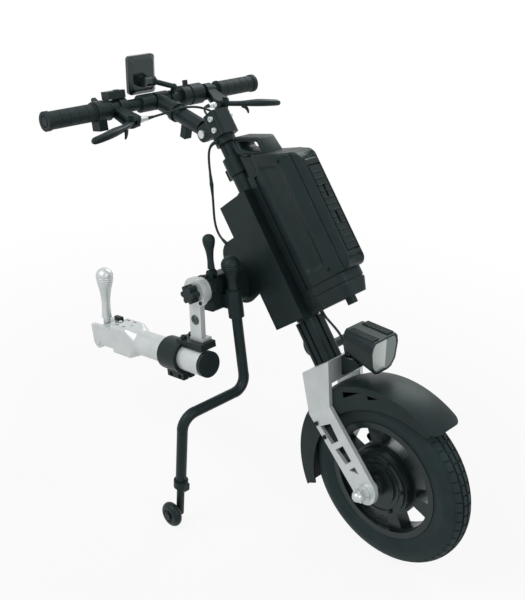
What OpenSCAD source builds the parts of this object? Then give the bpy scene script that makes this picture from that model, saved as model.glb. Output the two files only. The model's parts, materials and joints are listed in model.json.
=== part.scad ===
// Wheelchair power assist: a hub-motor front wheel with a fork, battery, handlebar and docking arm.
// The riding frame has its origin at the axle, +X forward, +Y left, +Z up. The part stands parked on its legs.

/* [Stance] */
// Outside radius of the tyre
wheel_r = 158.5; // [150:0.5:170]
// Lean of the steering axis from upright when docked, in degrees
rake = 28.6; // [27:0.1:30]
// Distance that the steering axis passes behind the axle, at axle height
axis_set = 19; // [16:0.5:22]
// Lean back of the whole frame when parked on its legs, in degrees
park_pitch = 14; // [12:0.1:16]
// Distance from the axle back to the middle of the part's length
origin_set = 262.45; // [200:0.05:300]

/* [Wheel] */
// Width of the tyre
tyre_w = 57; // [54:0.5:59]
// Radius of the tyre's bead
bead_r = 101.5; // [98:0.5:104]
// Thickness of the tyre's wall
tyre_wall = 4.5; // [3:0.1:6]
// Width of the rim over its lips
rim_w = 44; // [43:0.5:46]
// Thickness of the spoke web
web_t = 26; // [20:0.5:32]
// Radius of the hub motor
hub_r = 60; // [56:0.5:62]
// Half width of the hub motor
hub_half = 30; // [28:0.5:32]
// Number of wide spokes
spokes = 6; // [5:1:7]
// Radius of the brake disc
rotor_r = 70; // [66:0.5:74]
// Radius of the axle
axle_r = 7; // [6:0.1:8]

/* [Fork] */
// Height of the crown's top along the steering axis
crown_top = 213; // [210:0.5:216]
// Reach of the crown behind the steering axis
crown_back = 25; // [22:0.5:28]
// Reach of the crown ahead of the steering axis
crown_front = 48; // [46:0.5:50]
// Height of the crown's cheeks down to the knee
crown_h = 72; // [68:0.5:76]
// Inside half width of the crown
cheek_in = 37; // [37:0.1:39]
// Thickness of the fork's plates
fork_t = 8; // [6:0.5:9]
// Inside half width at the axle
drop_in = 58; // [57:0.5:60]
// Radius of the fork's ends round the axle
eye_r = 24; // [22:0.5:26]

/* [Column] */
// Radius of the steerer tube
steerer_r = 17.4; // [17:0.1:18]
// Radius of the sliding upper tube
upper_r = 14.3; // [14:0.1:14.6]
// Depth of the lower column from front to back
lower_d = 44; // [42:0.5:46]
// Width of the lower column
lower_w = 40; // [40:0.5:44]
// Height of the clamp collar's top along the axis
collar_top = 610; // [608:0.5:612]

/* [Frame] */
// Height of the channel's lower end along the axis
chan_low = 299; // [297:0.5:301]
// Length of the channel
chan_len = 241; // [236:0.5:244]
// Reach of the channel behind the axis
chan_back = 54; // [53:0.5:56]
// Reach of the channel ahead of the axis
chan_front = 24; // [23.8:0.1:26]
// Outside width of the channel
chan_w = 66; // [65:0.5:68]
// Thickness of the channel's walls
chan_t = 3; // [2:0.1:3]
// Length of the crossbar
bar_len = 234; // [224:0.5:250]
// Height of the crossbar
bar_h = 62; // [58:0.5:64]
// Depth of the crossbar
bar_d = 38; // [34:0.5:38]

/* [Battery] */
// Width of the battery
batt_w = 64; // [60:0.5:66]
// Rear face of the battery ahead of the axis
batt_back = 66; // [65:0.5:68]
// Depth of the battery
batt_d = 104; // [98:0.5:108]
// Height of the battery's lower end along the axis
batt_low = 337; // [336:0.5:340]
// Length of the battery
batt_len = 251; // [246:0.5:254]

/* [Handlebar] */
// Length over the grips
bar_span = 494; // [480:1:510]
// Radius of the bar
bar_r = 11.1; // [10.5:0.1:11.5]
// Radius of the grips
grip_r = 16; // [15:0.1:17]
// Length of a grip
grip_len = 100; // [96:1:104]
// Bar's distance behind the axle
bar_x = 508; // [506:0.5:510]
// Bar's height above the axle
bar_z = 634; // [632:0.5:636]

/* [Docking] */
// Radius of the docking tube
dock_r = 24; // [23:0.1:25]
// Length of the docking tube
dock_len = 186; // [182:0.5:190]
// Distance of the docking tube outside the crossbar's end
dock_off = 29; // [28:0.5:30]
// Height of the docking tube above the axle
dock_z = 198; // [197:0.5:200]
// Distance of the docking tube's front end behind the axle
dock_front = 278; // [276:0.5:280]
// Radius of the wheelchair tube that the clamp holds
grip_tube_r = 12.7; // [11:0.1:13.5]

/* [Stand] */
// Distance of each leg's upper tube from the middle
leg_y = 85.3; // [84:0.1:88]
// Distance of the legs' upper tubes behind the axle
leg_x = 252.6; // [252:0.1:254]
// Radius of the leg's tube
leg_r = 9.5; // [9:0.1:10]
// Sideways offset from the upper to the lower tube
leg_out = 146; // [140:1:150]
// Height of the leg's level run above the axle
leg_run_z = 135; // [133:0.5:137]
// Radius of the rollers
roller_r = 23; // [21:0.5:24]
// Width of the rollers
roller_w = 17; // [15:0.5:18]

/* [Hidden] */
$fn = 48;
hull_fn = 32;

// Clearance between pieces, running clearance, and overrun of a cut
fit = 0.3;
run = 0.05;
over = 1;

// Colours
black = [0.06, 0.065, 0.07];
dark = [0.10, 0.105, 0.11];
silver = [0.80, 0.81, 0.82];
steel = [0.60, 0.61, 0.62];
pale = [0.93, 0.95, 0.95];

// Wheel
tyre_mid_r = wheel_r - tyre_w / 2;
side_share = 0.985;
bead_w = 32;
bead_wall = 5;
groove_w = 3;
groove_d = 2.5;
groove_gap = 10;
slots = 28;
slot_w = 4;
slot_d = 9;
slot_in = 12;
slot_slant = 14;
rim_seat_r = bead_r - fit;
rim_t = 5;
rim_lip = 6;
lip_t = 2.6;
window_share = 0.70;
window_half = window_share * 180 / spokes;
window_turn = 10;
window_edge = 6;
window_rim = 2;
window_in_r = hub_r + window_edge;
window_out_r = rim_seat_r - rim_t - window_rim;
cover_step = 4;
cover_r = hub_r - cover_step;
cover_half = hub_half + cover_step;
ring_r = 38;
ring_half = cover_half + cover_step;
ring_groove_r = 46;
ring_groove_w = 3;
ring_groove_d = 1.5;
boss_r = 20;
boss_step = 6;
boss_half = ring_half + boss_step;
screw_pitch_r = 51.5;
screw_head_r = 3.4;
screw_head_h = 2.4;
screw_key_r = 1.6;
rotor_t = 2;
rotor_y = ring_half + fit;
rotor_band = 15;
rotor_hub_r = 30;
rotor_hole_r = 2.8;
rotor_holes = 24;
rotor_arm_w = 11;
rotor_arms = 6;
row_share = 0.5;
washer_r = 14;
washer_t = 2.5;
nut_r = 12.5;
nut_h = 12;
dome_r = 9.5;
spacer_r = 11;
drop_boss_r = 15;
drop_boss_t = 3.5;
drop_out = drop_in + fork_t + drop_boss_t;
axle_half = drop_out + 2 * fit + washer_t + nut_h;

// Fork: its outline lies in the column's own plane, n ahead of the steering axis and t up along it
axle_n = axis_set * cos(rake);
axle_t = -axis_set * sin(rake);
knee_t = crown_top - crown_h;
knee_back = -56;
knee_front = 2;
cheek_out = cheek_in + fork_t;
leg_rise = knee_t - axle_t;
leg_splay = atan((drop_in - cheek_in) / leg_rise);
leg_run = leg_rise / cos(leg_splay);
crown_plate = 27;
crown_wall = 8;
crown_wall_h = 36;
leg_lap = 2;
lap_share = 1 - leg_lap / crown_h;
eye_at = [axle_n, -leg_run];
leg_line = eye_at - [(knee_back + knee_front) / 2, 0];
leg_side = [-leg_line.y, leg_line.x] / norm(leg_line);
crown_out = [crown_h, knee_front - crown_front] / norm([crown_h, knee_front - crown_front]);
cut_shares = [
    [[0.17, 0.16], [0.19, 0.66], [0.40, 0.60], [0.40, 0.22]],
    [[0.47, 0.24], [0.47, 0.66], [0.66, 0.66], [0.66, 0.32]],
    [[0.73, 0.34], [0.73, 0.66], [0.82, 0.66]]
];
screw_shares = [[0.13, 0.10], [0.30, 0.11]];
fork_screw_r = 4;
fork_screw_h = 2.5;
caliper_r = 70;
caliper_turn = 136;
caliper_l = 50;
caliper_w = 13;
caliper_h = 24;
caliper_gap = 1.2;
caliper_round = 6;
caliper_slot = rotor_t + 2 * caliper_gap;

// Mudguard
mud_r = 180;
mud_t = 2.5;
mud_gap = 0.5;
mud_half = cheek_in - mud_gap;
mud_crown_r = 150;
mud_from = 44.5;
mud_corner_r = 16;
mud_to = 199;
skirt_in = 1.2;
skirt_trim = 0.5;
skirt_r = mud_r - mud_crown_r + sqrt(pow(mud_crown_r, 2) - pow(mud_half, 2)) - skirt_in;
skirt_cut_r = 172.7;
skirt_cut_off = 41.3;
skirt_cut_turn = -50;
skirt_hole_shares = [[[97, 0.955], [111, 0.96], [112, 0.90]], [[83.4, 0.94], [92, 0.94], [91.7, 0.895]]];

// Headlight
lamp_w = 70;
lamp_h = 62;
lamp_len = 66;
lamp_x = 6;
lamp_z = 226;
lamp_pitch = 9;
lens_t = 4;
lamp_wall = 3;
lamp_fin_h = 2;
lamp_fin_w = 1.6;
lamp_fins = 5;
lamp_fin_gap = 3.2;
lamp_fin_from = 4;
lamp_fin_len = 54;
lamp_fin_y = 25;
lamp_tail_share = 0.78;
lens_share = 0.9;
lens_gap_share = 0.02;
lamp_neck_x = 52;
lamp_neck_drop = 36;
lamp_neck_r = 8;
lamp_neck_w = 12;
lamp_pin_r = 3;
lamp_ear_t = 5;
lamp_ear_in = lamp_neck_w / 2 + fit;
lamp_ear_out = lamp_ear_in + lamp_ear_t;
bracket_shares = [0.04, 0.42];
neck_at = to_column(lamp_x - lamp_neck_x * cos(lamp_pitch) - lamp_neck_drop * sin(lamp_pitch),
    lamp_z + lamp_neck_x * sin(lamp_pitch) - lamp_neck_drop * cos(lamp_pitch));
lamp_shares = [[-0.5, 0.20], [-0.46, 0.40], [-0.38, 0.5], [0.38, 0.5], [0.46, 0.40], [0.5, 0.20], [0.44, -0.26],
    [0.30, -0.46], [0.18, -0.5], [-0.18, -0.5], [-0.30, -0.46], [-0.44, -0.26]];

// Column
column_gap = 0.6;
flute_w = 5;
flute_d = 3;
lower_round = 9;
head_over = 3;
bearing_t = 2;
head_t = 2;
head_in_r = steerer_r + bearing_t;
head_out_r = head_in_r + head_t;
bearing_h = 12;
flange_t = 2;
flange_w = 4;
lower_top = chan_low - head_over - flange_t - column_gap;
collar_over = 22;
steerer_top = collar_top - collar_over;
upper_in = 118;
upper_seat = steerer_top - upper_in;
upper_top = 648;
collar_r = 20.6;
collar_h = 34;
collar_ear = 9;
collar_ear_w = 13;
collar_ear_h = 20;
groove_n = 8;
tube_groove_w = 2.2;
tube_groove_d = 1;

// Head block and stem
pivot_n = -28;
pivot_t = 673;
block_h = 46;
block_d = 34;
block_w = 42;
block_round = 8;
pivot_pin_r = 5;
pivot_head_r = 7.5;
pivot_head_h = 4;
stem_eye_r = 14;
stem_eye_w = 20;
clevis_t = 8;
clevis_r = 15;
clevis_out = stem_eye_w / 2 + fit + clevis_t;
sleeve_over = 12;
sleeve_t = 5;
block_lap = 2;
block_n = 7;
block_bolt_shares = [[0.2, 0.74], [0.1, 0.3]];
stem_r = 15;
stem_ring_r = 18.5;
stem_ring_w = 10;
stem_box = [22, 16, 14];
stem_start = 20;
stem_neck_r = 9.5;
stem_ring = 92;
stem_box_at = 64;
stem_foot = from_column(pivot_n, 0, pivot_t);
stem_line = [-bar_x, 0, bar_z] - stem_foot;
stem_len = norm(stem_line);
stem_turn = atan2(stem_line.x, stem_line.z);
clamp_r = 16.5;
clamp_from = -45;
clamp_to = 20;
clamp_groove = 6;
bolt_r = 3.2;
bolt_head_r = 5;
bolt_head_h = 4;

// Frame
bar_cx = -290;
bar_cz = 317;
bar_wall = 5;
bar_round = 8;
sleeve_r = 14;
sleeve_low = 272;
sleeve_high = 322;
ear_top_n = -76;
ear_top_t = 452;
ear_r = 30;
ear_low_r = 42;
ear_low_t = 372;
bar_at = to_column(bar_cx, bar_cz);
sleeve_web_z = 290;
sleeve_web_h = 24;
disc_r = 23;
disc_t = 6;
disc_teeth = 20;
tooth_w = 3;
tooth_d = 2;
pivot_x = -289;
pivot_z = 328;
pivot_bolt_r = 5;
pivot_bolt_len = 37;
lock_rise = 8;
lock_x = -276;
lock_in = 7;
lock_y = bar_len / 2 - lock_in;
lock_z = bar_cz + bar_h / 2 + lock_rise;
lock_w = 8;
lock_ear_t = 2.7;
lock_eye_r = 7;
lock_pin_r = 3;
lock_neck = 9;
lock_neck_r = 3.8;
lock_len = 60;
lock_r = 10;
lock_lean = 3;
rail_n = chan_front + fit;
rail_w = 26;
rail_d = batt_back - fit - rail_n;
rail_len = 264;
rail_slot = 10;
rail_slot_d = 3;
front_t = 2;
base_low = 296;
base_h = batt_low - fit - base_low;
base_w = 58;
base_foot_share = 0.86;
base_n = 60;
base_d = 86;
base_round = 14;
base_rib = 2;
base_seam = 24;
port_r = 9;
port_h = 12;
port_bore_r = 6;
port_n = 116;

// Battery: section across the column, as shares of its depth and half width
case_shares = [[0, 0.62], [0.10, 1], [0.66, 1], [1, 0.56], [1, -0.56], [0.66, -1], [0.10, -1], [0, -0.62]];
batt_front = batt_back + batt_d;
bevel_turn = atan((case_shares[2][1] - case_shares[3][1]) * batt_w / 2 /
    ((case_shares[3][0] - case_shares[2][0]) * batt_d));
case_bevel = 12;
case_slope = 46;
case_foot = 13;
panel_in = 5;
panel_slope = 8;
panel_edge = 20;
panel_shares = [0.10, 0.58];
seam_w = 3;
seam_d = 3;
seam_shares = [0.85, 0.74];
handle_n = 34;
handle_sink = 23;
handle_t = batt_low + batt_len - handle_sink;
handle_d = 70;
handle_w = 40;
handle_h = 66;
handle_outer_shares = [[0, 0.53], [0, 0.86], [0.14, 1], [0.91, 0.58], [1, 0.05], [0.46, 0.29]];
handle_inner_shares = [[0.19, 0.62], [0.19, 0.84], [0.8, 0.5], [0.8, 0.24], [0.43, 0.44]];
strip_w = 25;
strip_len = 148;
strip_low = 28;
strip_t = 3.5;
strip_ribs = 12;
rib_h = 1.2;
rib_w = 2;
slot_shares = [0.3, 0.62];
strip_slot = 22;
pocket_w = 29;
pocket_rim = 3;
pocket_d = 4;
case_screw_share = 0.61;
case_screw_in = 14;
case_screw_t = [batt_low + case_screw_in, batt_low + batt_len - case_slope * case_screw_share - case_screw_in];

// Handlebar controls
cap_t = 8;
cap_step = 1.5;
cap_r = grip_r + cap_step;
bar_tube_t = 2.2;
grip_flange_t = 3;
grip_ribs = 4;
grip_rib_d = 0.6;
grip_rib_w = 1.2;
plug_ring_r = 9;
plug_ring_w = 2;
plug_ring_d = 1.5;
bar_free = bar_span / 2 - grip_len;
bracket_left_share = 0.83;
bracket_right_share = 0.714;
bracket_w_share = 0.109;
bracket_left = bracket_left_share * bar_free;
bracket_right = bracket_right_share * bar_free;
bracket_w = bracket_w_share * bar_free;
bracket_wall = 5;
lever_drop = 19.5;
lever_reach = 65;
lever_y_share = 0.762;
lever_y = lever_y_share * bar_free;
lever_len = 104;
lever_shares = [[0, 0], [0.18, 0.25], [0.31, 0.55], [0.38, 0.80], [0.395, 1]];
lever_wide_shares = [1.2, 0.95, 1, 0.95, 0.8];
lever_eye_r = 8;
lever_t = 8;
lever_w = 12;
lever_ball_r = 6.5;
lever_fork_t = 5;
lever_pin_r = 2.5;
bracket_h = lever_t + 2 * (fit + lever_fork_t);
bracket_web = 8;
adjuster_r = 4.5;
adjuster_len = 18;
adjuster_off = 20;
adjuster_y = lever_y - adjuster_off;
adjuster_back = 9;
adjuster_seat = 12;
drum_core_r = 14;
ring_w = 9;
tab_ring_r = 18.4;
tab_t = 6;
drum_from_share = 0.36;
drum_to_share = 0.70;
tab_y_share = 0.476;
drum_from = drum_from_share * bar_free;
drum_to = drum_to_share * bar_free;
drum_r = 20;
tab_y = tab_y_share * bar_free;
tab_turn = 90;
tab_len = 29;
throttle_out_share = 0.993;
throttle_in_share = 0.782;
throttle_out = throttle_out_share * bar_free;
throttle_in = throttle_in_share * bar_free;
throttle_r = 19;
throttle_box = [24, 18, 20];
paddle_y_share = 0.83;
paddle_y = paddle_y_share * bar_free;
paddle_turn = 148;
paddle_len = 38;
switch_out_share = 0.65;
switch_in_share = 0.545;
switch_out = switch_out_share * bar_free;
switch_in = switch_in_share * bar_free;
switch_lap = 1.5;
switch_sink = 1.2;
switch_box = [24, 36, 14];
switch_y_share = 0.626;
switch_button_y = switch_y_share * bar_free;
button_r = 5;
button_h = 4;
button_gap = 1.5;
display_y = 18.5;
display_w = 62;
display_h = 72;
display_t = 7;
display_z = 685;
display_x = -523;
display_lean = 10;
display_bevel = 7;
display_boss_r = 9;
display_boss_t = 6;
display_ring_r = 11;
display_ring_w = 2;
display_ring_h = 1.2;
display_ring_drop = 9;
screen_d = 1.5;
screen_round = 4;
arm_r = 5;
arm_elbow_r = 5.8;
arm_pin_r = 3;
arm_ring_from = 25;
arm_ring_to = 37;
arm_ring_r = 15;
arm_elbow = [-492, 30, 656];
arm_top = [-502, -12, 672];
display_pin_len = 12;
display_lug_w = 12;
display_lug_y = arm_top.y - arm_r - fit;

// Docking
dock_y = bar_len / 2 + dock_off;
plate_r = 27;
plate_t = 10;
plate_arm_w = 30;
plate_off = 17;
plate_y = bar_len / 2 + plate_off;
plate_hole_r = 6;
plate_hole_share = 0.55;
plate_foot_x = -301;
plate_foot_d = 34;
plate_foot_h = 5;
plate_foot_w = 22;
knob_r = 17;
knob_lobes = 6;
knob_lobe_r = 5;
knob_t = 16;
knob_bore = 12;
collar_len = 49;
collar_back = 55;
dock_collar_r = 31;
collar_slit = 3;
foot_w = 34;
foot_out = 9;
foot_lap = 12;
foot_h = 12;
foot_gap = 1;
foot_over = 2;
foot_top = dock_z + dock_r + foot_gap + foot_h;
foot_bolt_r = 4;
lug_w = 26;
lug_drop = 42;
lug_bolt_drop = 36.5;
lug_bolt_shares = [0.25, 0.75];
dock_t = 3;
cap_len = 8;
cap_plug = 15;
head_lip = 3;
head_h = 60;
head_w = 48;
head_loft = 26;
head_round = 6;
jaw_x = -538;
jaw_len = 40;
jaw_clear = 6.5;
cam_r = 10;
cam_w = 10;
cheek_t = 9;
cheek_h = 40;
cheek_r = 13;
jaw_w = head_w - 2 * (cheek_t + fit);
cheek_len = 66;
jaw_open = 0.8;
lever_pivot_x = -590;
lever_pivot_z = 182;
clamp_pin_r = 4;
clamp_pin_head_r = 7;
clamp_shaft_r = 7;
clamp_grip_len = 105;
clamp_grip_r = 16;
clamp_lever_len = 154;
clamp_lever_lean = 11;
handle_shares = [[0, 0.55], [0.32, 0.47], [0.62, 0.62], [0.86, 0.92], [1, 1]];
dome_step = 15;

// Stand
run_y = leg_y + leg_out;
bend_r = 26;
bend_swell = 0.3;
handle_len = 58;
leg_handle_r = 16;
handle_seat = 324;
foot_tube_r = 7;
foot_in = 60;
foot_ear = 5;
foot_ear_w = 10;
lower_len = 150;
foot_drop = wheel_r - leg_x * sin(park_pitch) + leg_run_z * cos(park_pitch) - roller_r;
foot_collar_r = 13;
foot_collar_h = 14;
roller_off = 19;
roller_bore = 4;
roller_in_r = 9;
roller_band = 2.5;
roller_dish = 2;
pin_head_t = 3;

// Cables: the points of their routes, the lamp's along the column and the rest in the riding frame
cable_r = 2.2;
cable_sides = 8;
cable_steps = 2;
route_unit = 100;
mast_shares = [[-3.27, -0.22, 5.65], [-3.30, -0.30, 5.63], [-3.39, -0.32, 5.51], [-3.44, -0.30, 5.24],
    [-3.45, -0.29, 4.90]];
frame_shares = [[-3.45, -0.29, 4.895], [-3.46, -0.29, 4.56], [-3.49, -0.30, 4.27], [-3.44, -0.31, 4.04],
    [-3.33, -0.315, 3.91], [-3.19, -0.315, 3.825]];
lamp_cable_shares = [[0.38, 0, 2.956], [0.39, 0, 2.88], [0.46, 0, 2.72], [0.54, 0, 2.54], [0.57, 0, 2.38],
    [0.53, 0, 2.24], [0.494, 0, 2.10]];
brake_right_shares = [[-4.40, -0.32, 6.175], [-4.30, -0.04, 6.225], [-4.24, 0.18, 6.205], [-4.14, 0.35, 6.15],
    [-3.92, 0.385, 6.06], [-3.66, 0.34, 5.995], [-3.47, 0.285, 5.97], [-3.40, 0.23, 5.965]];
brake_left_shares = [[-4.35, 0.49, 6.05], [-4.08, 0.42, 5.94], [-3.76, 0.36, 5.87], [-3.51, 0.30, 5.84],
    [-3.42, 0.23, 5.83]];
cable_seat = 1.3;
cable_straight = 11;
adjuster_x = lever_reach - adjuster_back + adjuster_seat / 2;
adjuster_end = adjuster_y - fit - adjuster_len;
adjuster_at = [adjuster_x * cos(lever_drop) - bar_x, adjuster_end, bar_z - adjuster_x * sin(lever_drop)];
cable_from = [for (in = [-cable_seat, cable_straight]) adjuster_at - [0, in, 0]];
brake_right_route = [for (p = cable_from) [p.x, -p.y, p.z], each route_unit * brake_right_shares];
brake_left_route = [each cable_from, each route_unit * brake_left_shares];

// Frames and helpers
function mix(a, b, s) = a + (b - a) * s;

function to_column(x, z) =
    [(x + axis_set) * cos(rake) + z * sin(rake), z * cos(rake) - (x + axis_set) * sin(rake)];

function from_column(n, y, t) = [n * cos(rake) - t * sin(rake) - axis_set, y, n * sin(rake) + t * cos(rake)];

function stem_at(d) = stem_foot + d * stem_line / stem_len;

module parked() translate([origin_set, 0, wheel_r]) rotate([0, -park_pitch, 0]) children();

module on_column() translate([-axis_set, 0, 0]) rotate([0, -rake, 0]) children();

// Wheel frame: its own z points to the right of the part, and angles run from +X up to +Z
module on_axle() rotate([90, 0, 0]) children();

module both_sides() {
    children();
    mirror([0, 1, 0]) children();
}

// An outline in the X-Z plane, pushed sideways from one Y to another
module across(from, to) translate([0, to, 0]) rotate([90, 0, 0]) linear_extrude(to - from) children();

module y_rod(r, from, to) translate([0, from, 0]) rotate([-90, 0, 0]) cylinder(r = r, h = to - from);

module x_rod(r, from, to) translate([from, 0, 0]) rotate([0, 90, 0]) cylinder(r = r, h = to - from);

module rod(a, b, r) {
    v = b - a;
    translate(a) rotate([0, acos(v.z / norm(v)), atan2(v.y, v.x)]) cylinder(r = r, h = norm(v));
}

module slab(size, r) {
    square([size.x - 2 * r, size.y], center = true);
    square([size.x, size.y - 2 * r], center = true);
    for (x = [-1, 1], y = [-1, 1]) translate([x * (size.x / 2 - r), y * (size.y / 2 - r)]) circle(r = r);
}

module ring_2d(outer, inner) difference() {
    circle(r = outer);
    circle(r = inner);
}

// A pear handle, turned about its own z: a waisted neck from a table of shares, and a domed head
module pear(len, r) rotate_extrude() polygon(concat([[0, 0]],
    [for (s = handle_shares) [s[1] * r, s[0] * (len - r)]],
    [for (a = [dome_step:dome_step:90]) [r * cos(a), len - r + r * sin(a)]]));

// A socket-head fastener standing on z = 0
module socket_head(r, h, key_r) difference() {
    cylinder(r = r, h = h);
    translate([0, 0, h / 2]) cylinder(r = key_r, h = h, $fn = 6);
}

// Wheel
function tread_r(y) = tyre_mid_r + sqrt(pow(tyre_w / 2, 2) - y * y);

module tyre_section() difference() {
    union() {
        translate([tyre_mid_r, 0]) circle(r = tyre_w / 2);
        polygon([[bead_r, -bead_w / 2], [tyre_mid_r, -side_share * tyre_w / 2],
            [tyre_mid_r, side_share * tyre_w / 2], [bead_r, bead_w / 2]]);
    }
    translate([tyre_mid_r, 0]) circle(r = tyre_w / 2 - tyre_wall);
    polygon([[bead_r - over, bead_wall - bead_w / 2], [tyre_mid_r, side_share * (tyre_wall - tyre_w / 2)],
        [tyre_mid_r, side_share * (tyre_w / 2 - tyre_wall)], [bead_r - over, bead_w / 2 - bead_wall]]);
    for (i = [-1:1]) translate([tread_r(i * groove_gap) - groove_d, i * groove_gap - groove_w / 2])
        square([tyre_w, groove_w]);
}

module tyre() color(black) parked() on_axle() difference() {
    rotate_extrude($fn = 72) tyre_section();
    for (i = [0:slots - 1], side = [0, 1]) rotate([0, 0, 360 * (i + side / 2) / slots])
        mirror([0, 0, side]) translate([wheel_r - slot_d, 0, slot_in]) rotate([slot_slant, 0, 0])
            translate([0, -slot_w / 2, 0]) cube([slot_d + over, slot_w, tyre_w / 2]);
}

module window() intersection() {
    ring_2d(window_out_r, window_in_r);
    polygon([[0, 0], for (side = [-1, 1]) 2 * hub_r * [cos(window_half), side * sin(window_half)]]);
}

module rim() color(dark) parked() on_axle() {
    rotate_extrude($fn = 72) {
        translate([rim_seat_r - rim_t, -rim_w / 2]) square([rim_t, rim_w]);
        for (side = [0, 1]) mirror([0, side]) translate([rim_seat_r - rim_t, rim_w / 2 - lip_t])
            square([rim_t + rim_lip, lip_t]);
    }
    translate([0, 0, -web_t / 2]) linear_extrude(web_t) difference() {
        circle(r = rim_seat_r - rim_t / 2, $fn = 72);
        circle(r = hub_r + fit);
        for (i = [0:spokes - 1]) rotate(360 * i / spokes + window_turn) window();
    }
}

module hub_step(r, half) translate([0, -half]) square([r, 2 * half]);

module hub() color(dark) parked() on_axle() difference() {
    rotate_extrude($fn = 72) difference() {
        union() {
            hub_step(hub_r, hub_half);
            hub_step(cover_r, cover_half);
            hub_step(ring_r, ring_half);
            hub_step(boss_r, boss_half);
        }
        for (side = [-1, 1]) translate([ring_groove_r, side * cover_half - ring_groove_d])
            square([ring_groove_w, 2 * ring_groove_d]);
    }
    cylinder(r = axle_r + run, h = 2 * (boss_half + over), center = true);
}

module cover_screws() color(black) parked() on_axle() for (i = [0:spokes - 1], side = [0, 1])
    rotate([0, 0, 360 * i / spokes]) mirror([0, 0, side]) translate([screw_pitch_r, 0, cover_half + fit])
        socket_head(screw_head_r, screw_head_h, screw_key_r, $fn = 24);

module rotor() color(steel) parked() on_axle() translate([0, 0, -rotor_y - rotor_t])
    linear_extrude(rotor_t) difference() {
        union() {
            ring_2d(rotor_r, rotor_r - rotor_band);
            circle(r = rotor_hub_r);
            for (i = [0:rotor_arms - 1]) rotate(360 * i / rotor_arms) translate([0, -rotor_arm_w / 2])
                square([rotor_r - rotor_band / 2, rotor_arm_w]);
        }
        circle(r = boss_r + fit);
        for (i = [0:rotor_holes - 1]) rotate(360 * (i + row_share) / rotor_holes)
            translate([rotor_r - rotor_band / 2 + (i % 2 - row_share) * rotor_band / 2, 0])
                circle(r = rotor_hole_r, $fn = 16);
    }

module axle() color(steel) parked() {
    y_rod(axle_r, -axle_half, axle_half);
    both_sides() y_rod(spacer_r, boss_half + fit, drop_in - drop_boss_t - fit);
}

module axle_nuts() color(steel) parked() both_sides() translate([0, drop_out + fit, 0]) rotate([-90, 0, 0])
    difference() {
        union() {
            cylinder(r = washer_r, h = washer_t);
            cylinder(r = nut_r, h = washer_t + nut_h, $fn = 6);
            translate([0, 0, washer_t + nut_h]) intersection() {
                sphere(r = dome_r, $fn = 32);
                cylinder(r = dome_r, h = dome_r);
            }
        }
        translate([0, 0, -over]) cylinder(r = axle_r + run, h = washer_t + nut_h + over + 2 * fit);
    }

// Fork: n runs ahead of the steering axis and t up along it. The legs splay out below the knee.
function crown_at(s, w) = mix(mix([-crown_back, crown_top], [knee_back, knee_t], s),
    mix([crown_front, crown_top], [knee_front, knee_t], s), w);

function leg_at(s, w) = mix(mix([knee_back, 0], eye_at - eye_r * leg_side, s),
    mix([knee_front, 0], eye_at + eye_r * leg_side, s), w);

module leg_outline() difference() {
    union() {
        polygon([crown_at(lap_share, 0) - [0, knee_t], crown_at(lap_share, 1) - [0, knee_t],
            leg_at(0, 1), leg_at(1, 1), leg_at(1, 0), leg_at(0, 0)]);
        translate(eye_at) circle(r = eye_r);
    }
    for (cut = cut_shares) polygon([for (s = cut) leg_at(s[0], s[1])]);
}

// The left leg's own plane, hinged out about the knee line
module on_leg() translate([0, cheek_in, knee_t]) rotate([leg_splay, 0, 0]) children();

module fork() color(silver) parked() on_column() difference() {
    union() {
        across(-cheek_out, cheek_out) polygon([crown_at(0, 0), crown_at(0, 1),
            crown_at(crown_plate / crown_h, 1), crown_at(crown_plate / crown_h, 0)]);
        across(-cheek_out, cheek_out) polygon([crown_at(0, 1) - [crown_wall, 0], crown_at(0, 1),
            crown_at(crown_wall_h / crown_h, 1), crown_at(crown_wall_h / crown_h, 1) - [crown_wall, 0]]);
        both_sides() {
            across(cheek_in, cheek_out)
                polygon([crown_at(0, 0), crown_at(0, 1), crown_at(1, 1), crown_at(1, 0)]);
            on_leg() across(0, fork_t) leg_outline();
            translate([axle_n, 0, axle_t]) y_rod(drop_boss_r, drop_in - drop_boss_t, drop_out);
        }
    }
    translate([axle_n, 0, axle_t]) y_rod(axle_r + run, -axle_half, axle_half);
}

module fork_screws() color(black) parked() on_column() both_sides() on_leg() for (s = screw_shares)
    translate([leg_at(s[0], s[1]).x, fork_t + fit, leg_at(s[0], s[1]).y]) rotate([-90, 0, 0])
        socket_head(fork_screw_r, fork_screw_h, screw_key_r, $fn = 24);

module caliper() color(dark) parked() on_axle() rotate([0, 0, caliper_turn])
    translate([caliper_r, 0, -rotor_y - rotor_t / 2]) difference() {
        translate([0, 0, -caliper_w / 2]) linear_extrude(caliper_w) slab([caliper_h, caliper_l], caliper_round);
        translate([-caliper_r, 0, -caliper_slot / 2])
            cylinder(r = rotor_r + caliper_gap, h = caliper_slot);
    }

// Mudguard
module mud_section() difference() {
    intersection() {
        translate([mud_r - mud_crown_r, 0]) circle(r = mud_crown_r, $fn = 96);
        translate([mud_r - mud_half, -mud_half]) square([mud_half + over, 2 * mud_half]);
    }
    translate([mud_r - mud_crown_r, 0]) circle(r = mud_crown_r - mud_t, $fn = 96);
}

module skirt() difference() {
    intersection() {
        circle(r = skirt_r, $fn = 96);
        polygon([[0, 0], for (i = [0:3]) let (a = mix(mud_from + skirt_trim, mud_to - skirt_trim, i / 3))
            2 * mud_r * [cos(a), sin(a)]]);
    }
    rotate(skirt_cut_turn) translate([skirt_cut_off, 0]) circle(r = skirt_cut_r, $fn = 96);
    for (hole = skirt_hole_shares) polygon([for (h = hole) h[1] * skirt_r * [cos(h[0]), sin(h[0])]]);
}

// What rounds a front corner of the crown
module mud_corner() rotate([90, 0, 90]) linear_extrude(2 * mud_r) difference() {
    translate([-over, mud_half - mud_corner_r]) square(mud_corner_r + over);
    translate([mud_corner_r, mud_half - mud_corner_r]) circle(r = mud_corner_r, $fn = 96);
}

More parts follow.
